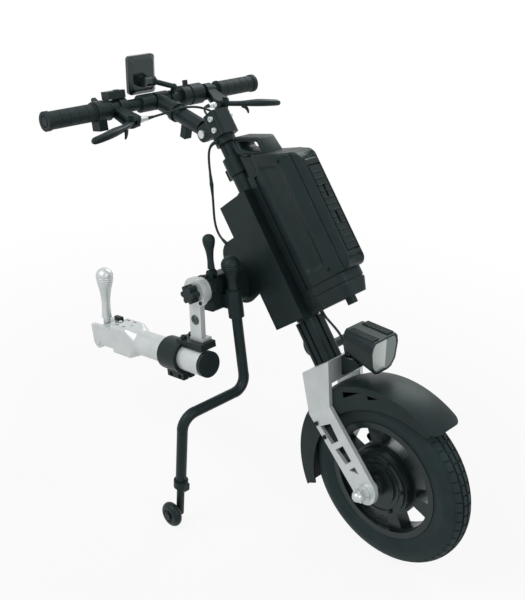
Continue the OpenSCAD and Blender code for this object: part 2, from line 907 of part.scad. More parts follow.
module mudguard() color(black) parked() on_axle() difference() {
    union() {
        rotate([0, 0, mud_from]) rotate_extrude(angle = mud_to - mud_from, $fn = 96) mud_section();
        for (side = [0, 1]) mirror([0, 0, side]) translate([0, 0, mud_half - mud_t]) linear_extrude(mud_t)
            skirt();
    }
    for (side = [0, 1]) mirror([0, 0, side]) rotate([0, 0, mud_from]) mud_corner();
}

// Headlight
module on_lamp() translate([lamp_x, 0, lamp_z]) rotate([0, lamp_pitch, 0]) children();

module lamp_outline(k) polygon([for (s = lamp_shares) k * [s[0] * lamp_w, s[1] * lamp_h]]);

// A lamp section standing across the lamp's axis, from one station to the next
module lamp_slice(from, to, k, lift = 0) translate([from, 0, lift]) rotate([90, 0, 90])
    linear_extrude(to - from) lamp_outline(k);

module lamp_body() color(black) parked() on_lamp() difference() {
    union() {
        hull() {
            lamp_slice(-lamp_wall, 0, 1);
            lamp_slice(-lamp_len, lamp_wall - lamp_len, lamp_tail_share, (1 - lamp_tail_share) * lamp_h / 2);
        }
        for (side = [-1, 1], i = [0:lamp_fins - 1])
            translate([-lamp_fin_from - lamp_fin_len, side * (lamp_fin_y - i * lamp_fin_gap) - lamp_fin_w / 2,
                lamp_h / 2 - lamp_wall]) cube([lamp_fin_len, lamp_fin_w, lamp_wall + lamp_fin_h]);
        across(-lamp_neck_w / 2, lamp_neck_w / 2) {
            translate([-lamp_neck_x, -lamp_neck_drop]) circle(r = lamp_neck_r);
            translate([-lamp_neck_x - lamp_neck_r, -lamp_neck_drop])
                square([2 * lamp_neck_r, lamp_neck_drop]);
        }
    }
    lamp_slice(-lens_t, over, lens_share);
    translate([-lamp_neck_x, 0, -lamp_neck_drop]) y_rod(lamp_pin_r + run, -lamp_w, lamp_w);
}

module lamp_lens() color(pale) parked() on_lamp() lamp_slice(fit - lens_t, -fit, lens_share - lens_gap_share);

// The bracket's plate lies on the crown's sloping front
function front_off(s, d) = crown_at(s, 1) + d * crown_out;

module bracket_plate() polygon([front_off(bracket_shares[0], fit), front_off(bracket_shares[1], fit),
    front_off(bracket_shares[1], fit + lamp_ear_t), front_off(bracket_shares[0], fit + lamp_ear_t)]);

module lamp_bracket() color(black) parked() {
    on_column() across(-lamp_ear_out, lamp_ear_out) bracket_plate();
    both_sides() on_column() across(lamp_ear_in, lamp_ear_out) hull() {
        bracket_plate();
        translate(neck_at) circle(r = lamp_neck_r, $fn = hull_fn);
    }
    on_column() translate([neck_at.x, 0, neck_at.y]) y_rod(lamp_pin_r, -lamp_ear_out, lamp_ear_out);
}

// Column
module column_section() difference() {
    slab([lower_d, lower_w], lower_round);
    for (side = [-1, 1], i = [-1, 1]) translate([i * lower_d / 6, side * lower_w / 2])
        square([flute_w, 2 * flute_d], center = true);
    for (side = [-1, 1]) translate([side * lower_d / 2, 0]) square([2 * flute_d, flute_w], center = true);
}

module column() color(black) parked() on_column() difference() {
    union() {
        translate([0, 0, crown_top]) linear_extrude(lower_top - crown_top) column_section();
        translate([0, 0, crown_top]) cylinder(r = steerer_r, h = steerer_top - crown_top);
    }
    translate([0, 0, upper_seat]) cylinder(r = upper_r + run, h = steerer_top - upper_seat + over);
}

module collar() color(black) parked() on_column() difference() {
    union() {
        translate([0, 0, collar_top - collar_h]) cylinder(r = collar_r, h = collar_h);
        translate([-collar_r - collar_ear, -collar_ear_w / 2, collar_top - collar_h])
            cube([collar_r + collar_ear, collar_ear_w, collar_ear_h]);
    }
    translate([0, 0, collar_top - collar_h - over])
        cylinder(r = steerer_r + fit, h = collar_h - collar_over + over + fit);
    translate([0, 0, collar_top - collar_h]) cylinder(r = upper_r + fit, h = collar_h + over);
    translate([-collar_r - collar_ear - over, -collar_slit / 2, collar_top - collar_h - over])
        cube([collar_r + collar_ear + over, collar_slit, collar_h + 2 * over]);
}

module upper_tube() color(black) parked() on_column() difference() {
    translate([0, 0, upper_seat + fit]) cylinder(r = upper_r, h = upper_top - upper_seat - fit);
    for (i = [0:groove_n - 1]) rotate([0, 0, 360 * (i + row_share) / groove_n])
        translate([upper_r - tube_groove_d, -tube_groove_w / 2, collar_top])
            cube([2 * tube_groove_d, tube_groove_w, upper_top - collar_top]);
}

module head_block() color(black) parked() on_column() {
    translate([0, 0, upper_top - sleeve_over]) difference() {
        cylinder(r = upper_r + sleeve_t, h = sleeve_over + block_lap);
        translate([0, 0, -over]) cylinder(r = upper_r + fit, h = sleeve_over + fit + over);
    }
    translate([block_n, 0, upper_top + 2 * fit]) linear_extrude(block_h) slab([block_d, block_w], block_round);
    both_sides() difference() {
        across(stem_eye_w / 2 + fit, stem_eye_w / 2 + fit + clevis_t) hull() {
            translate([pivot_n, pivot_t]) circle(r = clevis_r, $fn = hull_fn);
            translate([block_n, upper_top + block_h / 2])
                square([block_d / 2, block_h - 2 * block_round], center = true);
        }
        translate([pivot_n, 0, pivot_t]) y_rod(pivot_pin_r + fit, 0, block_w);
    }
}

module head_bolts() color(steel) parked() on_column() {
    translate([pivot_n, 0, pivot_t]) {
        y_rod(pivot_pin_r, -clevis_out - pivot_head_h, clevis_out + pivot_head_h);
        both_sides() y_rod(pivot_head_r, clevis_out + fit, clevis_out + fit + pivot_head_h);
    }
    both_sides() for (s = block_bolt_shares)
        translate([block_n + s[0] * block_d, block_w / 2 + fit, upper_top + s[1] * block_h]) rotate([-90, 0, 0])
            socket_head(bolt_head_r, bolt_head_h, bolt_r / 2, $fn = 24);
}

// Frame
module channel() color(black) parked() on_column() difference() {
    union() {
        both_sides() across(chan_w / 2 - chan_t, chan_w / 2) {
            translate([-chan_back, chan_low]) square([chan_back + chan_front, chan_len]);
            hull() {
                translate([ear_top_n, ear_top_t]) circle(r = ear_r, $fn = hull_fn);
                translate(bar_at) circle(r = ear_low_r, $fn = hull_fn);
                translate([-chan_back, ear_low_t]) square([chan_t, ear_top_t + ear_r - ear_low_t]);
            }
        }
        translate([-chan_back, -chan_w / 2, chan_low]) cube([chan_t, chan_w, chan_len]);
        translate([chan_front - front_t, -chan_w / 2, chan_low]) cube([front_t, chan_w, chan_len]);
    }
    translate([bar_at.x, 0, bar_at.y]) rotate([0, rake, 0]) across(-chan_w, chan_w)
        slab([bar_d + 2 * fit, bar_h + 2 * fit], bar_round + fit);
}

module head_tube() color(black) parked() on_column() translate([0, 0, chan_low - head_over])
    linear_extrude(chan_len + 2 * head_over) ring_2d(head_out_r, head_in_r);

module bearings() color(black) parked() on_column() for (end = [0, 1])
    translate([0, 0, chan_low + end * chan_len]) mirror([0, 0, end]) rotate_extrude() {
        translate([steerer_r + run, -head_over - flange_t]) square([bearing_t - 2 * run, bearing_h]);
        translate([steerer_r + run, -head_over - flange_t]) square([flange_w, flange_t - fit]);
    }

module dock() color(black) parked() on_column() {
    difference() {
        translate([rail_n, -rail_w / 2, base_low]) cube([rail_d, rail_w, rail_len]);
        both_sides() translate([rail_n + (rail_d - rail_slot) / 2, rail_w / 2 - rail_slot_d, base_low + base_h])
            cube([rail_slot, rail_slot_d + over, rail_len]);
    }
    difference() {
        hull() {
            translate([base_n + base_d / 2, 0, base_low + base_h / 2]) linear_extrude(base_h / 2)
                slab([base_d, base_w], base_round, $fn = hull_fn);
            translate([base_n + base_d / 2, 0, base_low]) linear_extrude(base_rib)
                slab(base_foot_share * [base_d, base_w], base_round, $fn = hull_fn);
        }
        translate([base_n + base_d / 2, 0, base_low + base_seam]) linear_extrude(base_rib) difference() {
            slab([base_d + over, base_w + over], base_round);
            slab([base_d - 2 * base_rib, base_w - 2 * base_rib], base_round - base_rib);
        }
    }
    translate([port_n, 0, base_low - port_h]) linear_extrude(port_h + base_rib) ring_2d(port_r, port_bore_r);
}

// The crossbar carries the legs' sleeves, the docking pivot with its toothed disc, and the lock's ears
module lock_ear() {
    translate([lock_x, lock_z]) circle(r = lock_eye_r);
    translate([lock_x - lock_eye_r, bar_cz]) square([2 * lock_eye_r, lock_z - bar_cz]);
}

module crossbar() color(black) parked() difference() {
    union() {
        translate([bar_cx, 0, bar_cz]) across(-bar_len / 2, bar_len / 2) slab([bar_d, bar_h], bar_round);
        both_sides() {
            translate([-leg_x, leg_y, sleeve_low]) cylinder(r = sleeve_r, h = sleeve_high - sleeve_low);
            translate([bar_cx, leg_y - sleeve_r, sleeve_web_z])
                cube([-leg_x - bar_cx, 2 * sleeve_r, sleeve_web_h]);
        }
        translate([pivot_x, -bar_len / 2, pivot_z]) {
            y_rod(disc_r, -disc_t, bar_wall);
            for (i = [0:disc_teeth - 1]) rotate([0, 360 * i / disc_teeth, 0])
                translate([disc_r - tooth_d, -disc_t, -tooth_w / 2]) cube([2 * tooth_d, disc_t - fit, tooth_w]);
            y_rod(pivot_bolt_r, -pivot_bolt_len, 0);
        }
        across(-lock_y - lock_w / 2 - fit - lock_ear_t, -lock_y - lock_w / 2 - fit) lock_ear();
        across(-lock_y + lock_w / 2 + fit, -lock_y + lock_w / 2 + fit + lock_ear_t) lock_ear();
        translate([lock_x, -lock_y, lock_z]) y_rod(lock_pin_r, -lock_w, lock_w);
    }
    translate([bar_cx, 0, bar_cz]) across(bar_wall - bar_len / 2, bar_len / 2 + over)
        slab([bar_d - 2 * bar_wall, bar_h - 2 * bar_wall], bar_round - bar_wall);
    both_sides() translate([-leg_x, leg_y, sleeve_low - over])
        cylinder(r = leg_r + run, h = sleeve_high - sleeve_low + 2 * over);
}

// Battery
function case_top(n) = batt_low + batt_len - case_slope * (n - batt_back) / batt_d;

module case_section() difference() {
    polygon([for (s = case_shares) [batt_back + s[0] * batt_d, s[1] * batt_w / 2]]);
    for (side = [-1, 1]) translate([batt_back + seam_shares[0] * batt_d, side * seam_shares[1] * batt_w / 2])
        rotate(-side * bevel_turn) square([seam_w, 2 * seam_d], center = true);
}

module case_side() polygon([[batt_back - over, batt_low], [base_n + base_d, batt_low],
    [batt_front + over, batt_low + case_foot], [batt_front + over, case_top(batt_front) - case_bevel],
    [batt_front - case_bevel, case_top(batt_front - case_bevel)],
    [batt_back - over, case_top(batt_back - over)]]);

module handle_outline(shares)
    polygon([for (s = shares) [handle_n + s[0] * handle_d, handle_t + s[1] * handle_h]]);

module panel_face(in) let (from = batt_back + panel_shares[0] * batt_d + in, edge = panel_edge + in,
    to = batt_back + panel_shares[1] * batt_d - in)
    polygon([[from, batt_low + edge], [to, batt_low + edge],
        [to, case_top(to) - edge], [from, case_top(from) - edge]]);

// The panel is sunk, with sides that slope in to its floor
module panel_cut() hull() {
    across(batt_w / 2, batt_w / 2 + over) panel_face(0);
    across(batt_w / 2 - panel_in, batt_w / 2) panel_face(panel_slope);
}

module battery_case() color(black) parked() on_column() difference() {
    union() {
        intersection() {
            translate([0, 0, batt_low]) linear_extrude(batt_len + case_bevel) case_section();
            across(-batt_w, batt_w) case_side();
        }
        across(-handle_w / 2, handle_w / 2) difference() {
            handle_outline(handle_outer_shares);
            handle_outline(handle_inner_shares);
        }
    }
    both_sides() panel_cut();
    translate([batt_front - pocket_d, -pocket_w / 2, batt_low + strip_low - pocket_rim])
        cube([pocket_d + over, pocket_w, strip_len + 2 * pocket_rim]);
}

module battery_strip() color(dark) parked() on_column()
    translate([batt_front - pocket_d + fit, -strip_w / 2, batt_low + strip_low]) difference() {
        union() {
            cube([strip_t, strip_w, strip_len]);
            for (i = [1:strip_ribs]) translate([0, rib_w, i * strip_len / (strip_ribs + 1) - rib_w / 2])
                cube([strip_t + rib_h, strip_w - 2 * rib_w, rib_w]);
        }
        for (s = slot_shares) translate([-over, strip_w / 2 - rib_w, s * strip_len])
            cube([strip_t + rib_h + 2 * over, 2 * rib_w, strip_slot]);
    }

module battery_screws() color(black) parked() on_column() both_sides() for (t = case_screw_t)
    translate([batt_back + case_screw_share * batt_d, batt_w / 2 + fit, t]) rotate([-90, 0, 0])
        socket_head(bolt_r, screw_head_h, screw_key_r, $fn = 24);

// Stem and handlebar
module on_bar() translate([-bar_x, 0, bar_z]) children();

module stem_arm() color(black) parked() difference() {
    union() {
        translate(stem_foot) y_rod(stem_eye_r, -stem_eye_w / 2, stem_eye_w / 2);
        rod(stem_foot, stem_at(stem_start), stem_neck_r);
        rod(stem_at(stem_start), stem_at(stem_len), stem_r);
        rod(stem_at(stem_ring), stem_at(stem_ring + stem_ring_w), stem_ring_r);
        translate(stem_at(stem_box_at)) rotate([0, stem_turn, 0])
            translate([-stem_r - stem_box.x, -stem_box.y / 2, -stem_box.z / 2])
                cube([stem_r + stem_box.x, stem_box.y, stem_box.z]);
        on_bar() y_rod(clamp_r, clamp_from, clamp_to);
    }
    translate(stem_foot) y_rod(pivot_pin_r + run, -stem_eye_w, stem_eye_w);
    on_bar() y_rod(bar_r + run, clamp_from - over, clamp_to + over);
    on_bar() translate([0, (clamp_from + clamp_to - clamp_groove) / 2, 0]) rotate([-90, 0, 0])
        linear_extrude(clamp_groove) ring_2d(clamp_r + over, clamp_r - clamp_groove / 2);
}

module handlebar() color(black) parked() on_bar() difference() {
    y_rod(bar_r, cap_t - bar_span / 2, bar_span / 2 - cap_t);
    y_rod(bar_r - bar_tube_t, -bar_span, bar_span);
}

module grips() color(black) parked() on_bar() both_sides() translate([0, bar_span / 2 - grip_len, 0])
    rotate([-90, 0, 0]) rotate_extrude() difference() {
        union() {
            square([grip_r, grip_len]);
            translate([0, grip_len - cap_t]) square([cap_r, cap_t]);
            square([cap_r, grip_flange_t]);
        }
        translate([0, -over]) square([bar_r + run, grip_len - cap_t + over + fit]);
        for (i = [1:grip_ribs]) translate([grip_r - grip_rib_d, i * (grip_len - cap_t) / (grip_ribs + 1)])
            square([grip_r, grip_rib_w]);
        translate([plug_ring_r, grip_len - plug_ring_d]) square([plug_ring_w, plug_ring_d + over]);
    }

// Brake levers lie in a plane that drops ahead of the bar
module on_lever() on_bar() rotate([0, lever_drop, 0]) children();

module bracket(y) difference() {
    union() {
        y_rod(bar_r + bracket_wall, y - bracket_w / 2, y + bracket_w / 2);
        for (side = [0, 1]) mirror([0, 0, side]) translate([0, 0, lever_t / 2 + fit])
            linear_extrude(lever_fork_t) hull() {
                translate([lever_reach, lever_y]) circle(r = lever_eye_r, $fn = hull_fn);
                translate([lever_reach - adjuster_back, adjuster_y]) square([adjuster_seat, adjuster_seat]);
                translate([bar_r, y - bracket_w / 2]) square([bracket_wall, bracket_w]);
            }
        translate([lever_reach, lever_y, 0]) cylinder(r = lever_pin_r, h = bracket_h, center = true);
        translate([lever_reach - adjuster_back, adjuster_y, -bracket_h / 2])
            cube([adjuster_seat, bracket_web, bracket_h]);
        translate([lever_reach, lever_y, bracket_h / 2]) cylinder(r = bolt_head_r, h = bolt_head_h);
    }
    y_rod(bar_r + run, y - bracket_w, y + bracket_w);
}

module lever_brackets() color(black) parked() on_lever() {
    bracket(bracket_left);
    mirror([0, 1, 0]) bracket(bracket_right);
}

module adjusters() color(silver) parked() on_lever() both_sides()
    translate([lever_reach - adjuster_back + adjuster_seat / 2, adjuster_y - fit - adjuster_len, 0]) {
        y_rod(adjuster_r, 0, adjuster_len);
        y_rod(adjuster_r + rib_h, adjuster_len / 2, adjuster_len - rib_w);
    }

function lever_at(i) = [lever_reach, lever_y] + lever_len * lever_shares[i];

module lever_round(i) translate(lever_at(i)) circle(r = lever_wide_shares[i] * lever_w / 2, $fn = hull_fn);

module brake_lever() difference() {
    union() {
        for (i = [1:len(lever_shares) - 1]) translate([0, 0, -lever_t / 2]) linear_extrude(lever_t) hull() {
            lever_round(i - 1);
            lever_round(i);
        }
        translate(lever_at(len(lever_shares) - 1)) sphere(r = lever_ball_r, $fn = hull_fn);
    }
    translate([lever_reach, lever_y, 0]) cylinder(r = lever_pin_r + run, h = bracket_h, center = true);
}

module lever_left() color(black) parked() on_lever() brake_lever();

module lever_right() color(black) parked() on_lever() mirror([0, 1, 0]) brake_lever();

// A drum on the bar with a channel in which a ring with a tab turns
module drum(r, from, to, slot) difference() {
    y_rod(r, from, to);
    translate([0, slot - ring_w / 2, 0]) rotate([-90, 0, 0]) linear_extrude(ring_w)
        ring_2d(r + over, drum_core_r);
    y_rod(bar_r + run, from - over, to + over);
}

module tab_ring(slot, turn, reach) translate([0, slot - ring_w / 2 + fit, 0]) rotate([-90, 0, 0])
    linear_extrude(ring_w - 2 * fit) {
        ring_2d(tab_ring_r, drum_core_r + run);
        rotate(-turn) translate([drum_core_r + tab_t / 2, -tab_t / 2])
            square([reach - drum_core_r - tab_t / 2, tab_t]);
    }

module throttle_housing() color(black) parked() on_bar() {
    drum(throttle_r, -throttle_out, -throttle_in, -paddle_y);
    translate([-throttle_box.x / 2, -throttle_out, -throttle_box.z - drum_core_r]) cube(throttle_box);
    difference() {
        union() {
            y_rod(throttle_r, -switch_out, -switch_in);
            translate([-switch_box.x / 2, -throttle_in - switch_lap, throttle_r - switch_sink])
                cube([switch_box.x, throttle_in + switch_lap - switch_in, switch_box.z]);
        }
        y_rod(bar_r + run, -throttle_out, 0);
        translate([0, 0, throttle_r - switch_sink + switch_box.z - button_h])
            translate([0, -switch_button_y, 0]) cylinder(r = button_r + run, h = button_h + over);
    }
}

module throttle_paddle() color(dark) parked() on_bar() tab_ring(-paddle_y, paddle_turn, paddle_len);

module switch_button() color(dark) parked() on_bar()
    translate([0, -switch_button_y, throttle_r - switch_sink + switch_box.z - button_h + button_gap])
        cylinder(r = button_r, h = button_h);

module left_drum() color(black) parked() on_bar() drum(drum_r, drum_from, drum_to, tab_y);

module left_tab() color(dark) parked() on_bar() tab_ring(tab_y, tab_turn, tab_len);

// Display on a tilting joint in front of its housing
module on_display() translate([display_x, -display_y, display_z]) rotate([0, display_lean, 0]) children();

module display_arm() color(black) parked() {
    difference() {
        union() {
            on_bar() y_rod(arm_ring_r, arm_ring_from, arm_ring_to);
            rod([-bar_x, (arm_ring_from + arm_ring_to) / 2, bar_z], arm_elbow, arm_r);
        }
        on_bar() y_rod(bar_r + run, arm_ring_from - over, arm_ring_to + over);
    }
    translate(arm_elbow) sphere(r = arm_elbow_r, $fn = hull_fn);
    rod(arm_elbow, arm_top, arm_r);
    translate([arm_top.x, 0, arm_top.z]) {
        y_rod(display_boss_r, arm_top.y - arm_r, arm_top.y + arm_r);
        y_rod(arm_pin_r, arm_top.y - arm_r - display_pin_len, arm_top.y);
    }
}

module display() color(black) parked() difference() {
    union() {
        on_display() rotate([90, 0, 90]) {
            hull() {
                translate([0, 0, -display_t]) linear_extrude(display_t)
                    slab([display_w, display_h], display_bevel, $fn = hull_fn);
                linear_extrude(display_boss_t)
                    slab([display_w, display_h] - 2 * display_bevel * [1, 1], display_bevel, $fn = hull_fn);
            }
            translate([0, -display_ring_drop, display_boss_t - over]) linear_extrude(display_ring_h + over)
                ring_2d(display_ring_r, display_ring_r - display_ring_w);
        }
        translate([arm_top.x, 0, arm_top.z]) across(display_lug_y - display_lug_w, display_lug_y) {
            circle(r = display_boss_r);
            translate([display_x + display_boss_t - arm_top.x - over, -display_boss_r])
                square([arm_top.x - display_x - display_boss_t + over, 2 * display_boss_r]);
        }
    }
    translate([arm_top.x, 0, arm_top.z]) y_rod(arm_pin_r + run, -bar_span, 0);
    on_display() rotate([90, 0, 90]) translate([0, 0, -display_t - over]) linear_extrude(screen_d + over)
        slab([display_w - 2 * display_bevel, display_h - 2 * display_bevel], screen_round);
}

// Docking arm
module lock_lever() color(black) parked() translate([lock_x, -lock_y, lock_z]) difference() {
    union() {
        y_rod(lock_eye_r, -lock_w / 2, lock_w / 2);
        rotate([0, lock_lean, 0]) {
            cylinder(r = lock_neck_r, h = lock_neck + over);
            translate([0, 0, lock_neck]) pear(lock_len, lock_r);
        }
    }
    y_rod(lock_pin_r + run, -lock_r, lock_r);
}

module plate_outline() {
    translate([pivot_x, pivot_z]) circle(r = plate_r);
    polygon([[pivot_x - plate_arm_w / 2, pivot_z], [pivot_x + plate_arm_w / 2, pivot_z],
        [plate_foot_x + plate_arm_w / 2, foot_top + fit], [plate_foot_x - plate_arm_w / 2, foot_top + fit]]);
}

module pivot_plate() color(silver) parked() difference() {
    union() {
        across(-plate_y - plate_t, -plate_y) plate_outline();
        translate([pivot_x, 0, pivot_z]) y_rod(disc_r, -plate_y - over, -bar_len / 2 - disc_t - fit);
        across(-plate_y - plate_t, plate_foot_w - plate_y - plate_t)
            translate([plate_foot_x - plate_foot_d / 2, foot_top + fit]) square([plate_foot_d, plate_foot_h]);
    }
    translate([pivot_x, 0, pivot_z]) y_rod(pivot_bolt_r + run, -dock_y, 0);
    translate([mix(pivot_x, plate_foot_x, plate_hole_share), 0, mix(pivot_z, foot_top, plate_hole_share)])
        y_rod(plate_hole_r, -dock_y, 0);
}

module star_knob() color(black) parked() translate([pivot_x, -plate_y - plate_t - fit, pivot_z])
    rotate([90, 0, 0])
    difference() {
        linear_extrude(knob_t) {
            circle(r = knob_r - knob_lobe_r);
            for (i = [0:knob_lobes - 1]) rotate(360 * i / knob_lobes) translate([knob_r - knob_lobe_r, 0])
                circle(r = knob_lobe_r, $fn = 24);
        }
        translate([0, 0, -over]) cylinder(r = pivot_bolt_r + run, h = knob_bore + over);
    }

module on_dock() translate([-dock_front, -dock_y, dock_z]) children();

module dock_collar() color(black) parked() on_dock() difference() {
    union() {
        x_rod(dock_collar_r, -collar_back - collar_len, -collar_back);
        translate([-collar_back - foot_lap, -foot_out, foot_top - dock_z - foot_h])
            cube([collar_back + foot_lap + foot_over, foot_w, foot_h]);
        translate([-collar_back - collar_len + over, -lug_w / 2, -lug_drop])
            cube([collar_len - 2 * over, lug_w, lug_drop]);
    }
    x_rod(dock_r + run, -dock_len, dock_len);
    translate([-collar_back - collar_len - over, -collar_slit / 2, -lug_drop - over])
        cube([collar_len + 2 * over, collar_slit, lug_drop + over]);
    for (x = lug_bolt_shares) translate([-collar_back - x * collar_len, 0, -lug_bolt_drop])
        y_rod(foot_bolt_r, -foot_w, foot_w);
}

module docking_tube() color(silver) parked() on_dock() difference() {
    x_rod(dock_r, -dock_len, 0);
    x_rod(dock_r - dock_t, -dock_len - over, over);
}

module tube_cap() color(black) parked() on_dock() {
    x_rod(dock_r, fit, cap_len);
    x_rod(dock_r - dock_t - run, -cap_plug, cap_len / 2);
}

// Clamp: two cheeks run back past the gripped tube to the lever's pin, and the jaw slides between them
module clamp_bore() translate([jaw_x + dock_front, 0, 0])
    cylinder(r = grip_tube_r, h = head_h + 2 * over, center = true);

module clamp_head() color(silver) parked() on_dock() difference() {
    union() {
        hull() {
            x_rod(dock_r, -dock_len - fit - head_lip, -dock_len - fit, $fn = hull_fn);
            translate([-dock_len - head_loft, 0, 0]) rotate([90, 0, 90]) linear_extrude(head_lip)
                slab([head_w, head_h], head_round);
        }
        translate([jaw_x + dock_front, 0, 0]) rotate([90, 0, 90])
            linear_extrude(-jaw_x - dock_front - dock_len - head_loft + head_lip)
                slab([head_w, head_h], head_round);
        both_sides() across(head_w / 2 - cheek_t, head_w / 2) {
            translate([jaw_x - cheek_len + dock_front, -cheek_h / 2]) square([cheek_len + over, cheek_h]);
            translate([lever_pivot_x + dock_front, lever_pivot_z - dock_z]) circle(r = cheek_r);
        }
        translate([lever_pivot_x + dock_front, 0, lever_pivot_z - dock_z]) {
            y_rod(clamp_pin_r, -head_w / 2, head_w / 2);
            both_sides() y_rod(clamp_pin_head_r, head_w / 2 - over, head_w / 2 + cap_step);
        }
        x_rod(dock_r - dock_t - run, -dock_len - head_lip, cap_plug - dock_len);
    }
    clamp_bore();
}

module clamp_jaw() color(steel) parked() on_dock() difference() {
    translate([jaw_x + dock_front - jaw_open - jaw_len, -jaw_w / 2, -cheek_h / 2])
        cube([jaw_len, jaw_w, cheek_h]);
    clamp_bore();
    translate([lever_pivot_x + dock_front, 0, lever_pivot_z - dock_z])
        y_rod(cam_r + jaw_clear, -clamp_shaft_r - fit, clamp_shaft_r + fit);
    translate([lever_pivot_x + dock_front - cam_r, -clamp_shaft_r - fit, lever_pivot_z - dock_z])
        cube([2 * cam_r + jaw_clear, 2 * (clamp_shaft_r + fit), cheek_h]);
}

module clamp_lever() color(silver) parked() translate([lever_pivot_x, -dock_y, lever_pivot_z]) difference() {
    union() {
        y_rod(cam_r, -cam_w / 2, cam_w / 2);
        rotate([0, clamp_lever_lean, 0]) {
            cylinder(r = clamp_shaft_r, h = clamp_lever_len - clamp_grip_len + over);
            translate([0, 0, clamp_lever_len - clamp_grip_len]) pear(clamp_grip_len, clamp_grip_r);
        }
    }
    y_rod(clamp_pin_r + run, -head_w, head_w);
}

// Stand: each leg goes down, out along a level run, and down again to a telescoping foot with a roller
module bend() rotate([90, 0, 90]) rotate_extrude(angle = 90) translate([bend_r, 0])
    circle(r = leg_r + bend_swell);

module on_foot() translate([-leg_x, run_y, leg_run_z]) rotate([0, park_pitch, 0]) children();

module leg() difference() {
    union() {
        translate([-leg_x, leg_y, 0]) {
            translate([0, 0, leg_run_z + bend_r])
                cylinder(r = leg_r, h = handle_seat - leg_run_z - bend_r + over);
            translate([0, 0, handle_seat]) pear(handle_len, leg_handle_r);
            translate([0, bend_r, leg_run_z + bend_r]) mirror([0, 1, 0]) mirror([0, 0, 1]) bend();
            translate([0, 0, leg_run_z]) y_rod(leg_r, bend_r, leg_out - bend_r);
        }
        on_foot() {
            translate([0, -bend_r, -bend_r]) bend();
            translate([0, 0, -lower_len]) cylinder(r = leg_r, h = lower_len - bend_r);
            translate([0, 0, -lower_len]) cylinder(r = foot_collar_r, h = foot_collar_h);
            translate([0, -foot_ear_w / 2, -lower_len])
                cube([foot_collar_r + foot_ear, foot_ear_w, foot_collar_h]);
        }
    }
    on_foot() translate([0, 0, -lower_len - over]) cylinder(r = foot_tube_r + run, h = foot_in + over);
}

module foot() on_foot() {
    translate([0, 0, -foot_drop - foot_tube_r])
        cylinder(r = foot_tube_r, h = foot_drop + foot_tube_r - lower_len + foot_in - fit);
    translate([0, 0, -foot_drop]) y_rod(roller_bore, 0, roller_off + roller_w / 2 + pin_head_t);
    translate([0, 0, -foot_drop]) y_rod(foot_tube_r, 0, roller_off - roller_w / 2 - fit);
    translate([0, 0, -foot_drop])
        y_rod(foot_tube_r, roller_off + roller_w / 2 + fit, roller_off + roller_w / 2 + pin_head_t);
}

module roller() on_foot() translate([0, roller_off, -foot_drop]) rotate([90, 0, 0])
    rotate_extrude() difference() {
    union() {
        translate([0, -roller_w / 2]) square([roller_r - roller_w / 2, roller_w]);
        translate([roller_r - roller_w / 2, 0]) circle(r = roller_w / 2);
    }
    translate([0, -roller_w]) square([roller_bore + run, 2 * roller_w]);
    for (side = [-1, 1]) translate([roller_in_r, side * roller_w / 2 - roller_dish])
        square([roller_band, 2 * roller_dish]);
}

module leg_left() color(black) parked() leg();

module leg_right() color(black) parked() mirror([0, 1, 0]) leg();

module foot_left() color(black) parked() foot();

module foot_right() color(black) parked() mirror([0, 1, 0]) foot();

module roller_left() color(dark) parked() roller();

module roller_right() color(dark) parked() mirror([0, 1, 0]) roller();

// Cables: a round tube swept along a smooth curve through the route's points
function spline(p, i, s) = let (a = p[max(i - 1, 0)], b = p[i], c = p[i + 1], d = p[min(i + 2, len(p) - 1)])
    (2 * b + (c - a) * s + (2 * a - 5 * b + 4 * c - d) * s * s + (3 * b - a - 3 * c + d) * s * s * s) / 2;

function smooth(p, steps) =
    [for (i = [0:len(p) - 2], k = [0:steps - 1]) spline(p, i, k / steps), p[len(p) - 1]];

function unit(v) = v / norm(v);

function heading(p, i) = unit(p[min(i + 1, len(p) - 1)] - p[max(i - 1, 0)]);

function hoop(p, i, r, side) = let (u = unit(cross(heading(p, i), side)), v = cross(heading(p, i), u))
    [for (k = [0:cable_sides - 1]) let (a = 360 * k / cable_sides) p[i] + r * (cos(a) * u + sin(a) * v)];

module cable(route, r, side) {
    p = smooth(route, cable_steps);
    n = cable_sides;
    last = (len(p) - 1) * n;
    polyhedron(points = [for (i = [0:len(p) - 1]) each hoop(p, i, r, side)],
        faces = concat([[for (k = [0:n - 1]) k]], [[for (k = [n - 1:-1:0]) last + k]],
            [for (i = [0:len(p) - 2], k = [0:n - 1]) let (m = (k + 1) % n) each
                [[i * n + k, (i + 1) * n + m, i * n + m], [i * n + k, (i + 1) * n + k, (i + 1) * n + m]]]));
}

module mast_cable() color(black) parked() cable(route_unit * mast_shares, cable_r, [1, 0, 0]);

module frame_cable() color(black) parked() cable(route_unit * frame_shares, cable_r, [0, 1, 0]);

module lamp_cable() color(black) parked() on_column()
    cable(route_unit * lamp_cable_shares, cable_r, [0, 1, 0]);

module brake_cables() color(black) parked() {
    cable(brake_right_route, cable_r, [0, 0, 1]);
    cable(brake_left_route, cable_r, [0, 0, 1]);
}

tyre();
rim();
hub();
cover_screws();
rotor();
axle();
axle_nuts();
fork();
fork_screws();
caliper();
mudguard();
lamp_bracket();
lamp_body();
lamp_lens();
column();
collar();
upper_tube();
head_block();
head_bolts();
channel();
head_tube();
bearings();
dock();
crossbar();
battery_case();
battery_strip();
battery_screws();
stem_arm();
handlebar();
grips();
lever_brackets();
adjusters();
lever_right();
lever_left();
throttle_housing();
throttle_paddle();
switch_button();
left_drum();
left_tab();
display_arm();
display();
lock_lever();
pivot_plate();
dock_collar();
star_knob();
docking_tube();
tube_cap();
clamp_head();
clamp_jaw();
clamp_lever();
leg_right();
leg_left();
foot_right();
foot_left();
roller_right();
roller_left();
frame_cable();
mast_cable();
lamp_cable();
brake_cables();
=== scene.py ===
"""Looks of a wheelchair power assist: a hub-motor wheel with its battery, bars, docking arm and stand."""

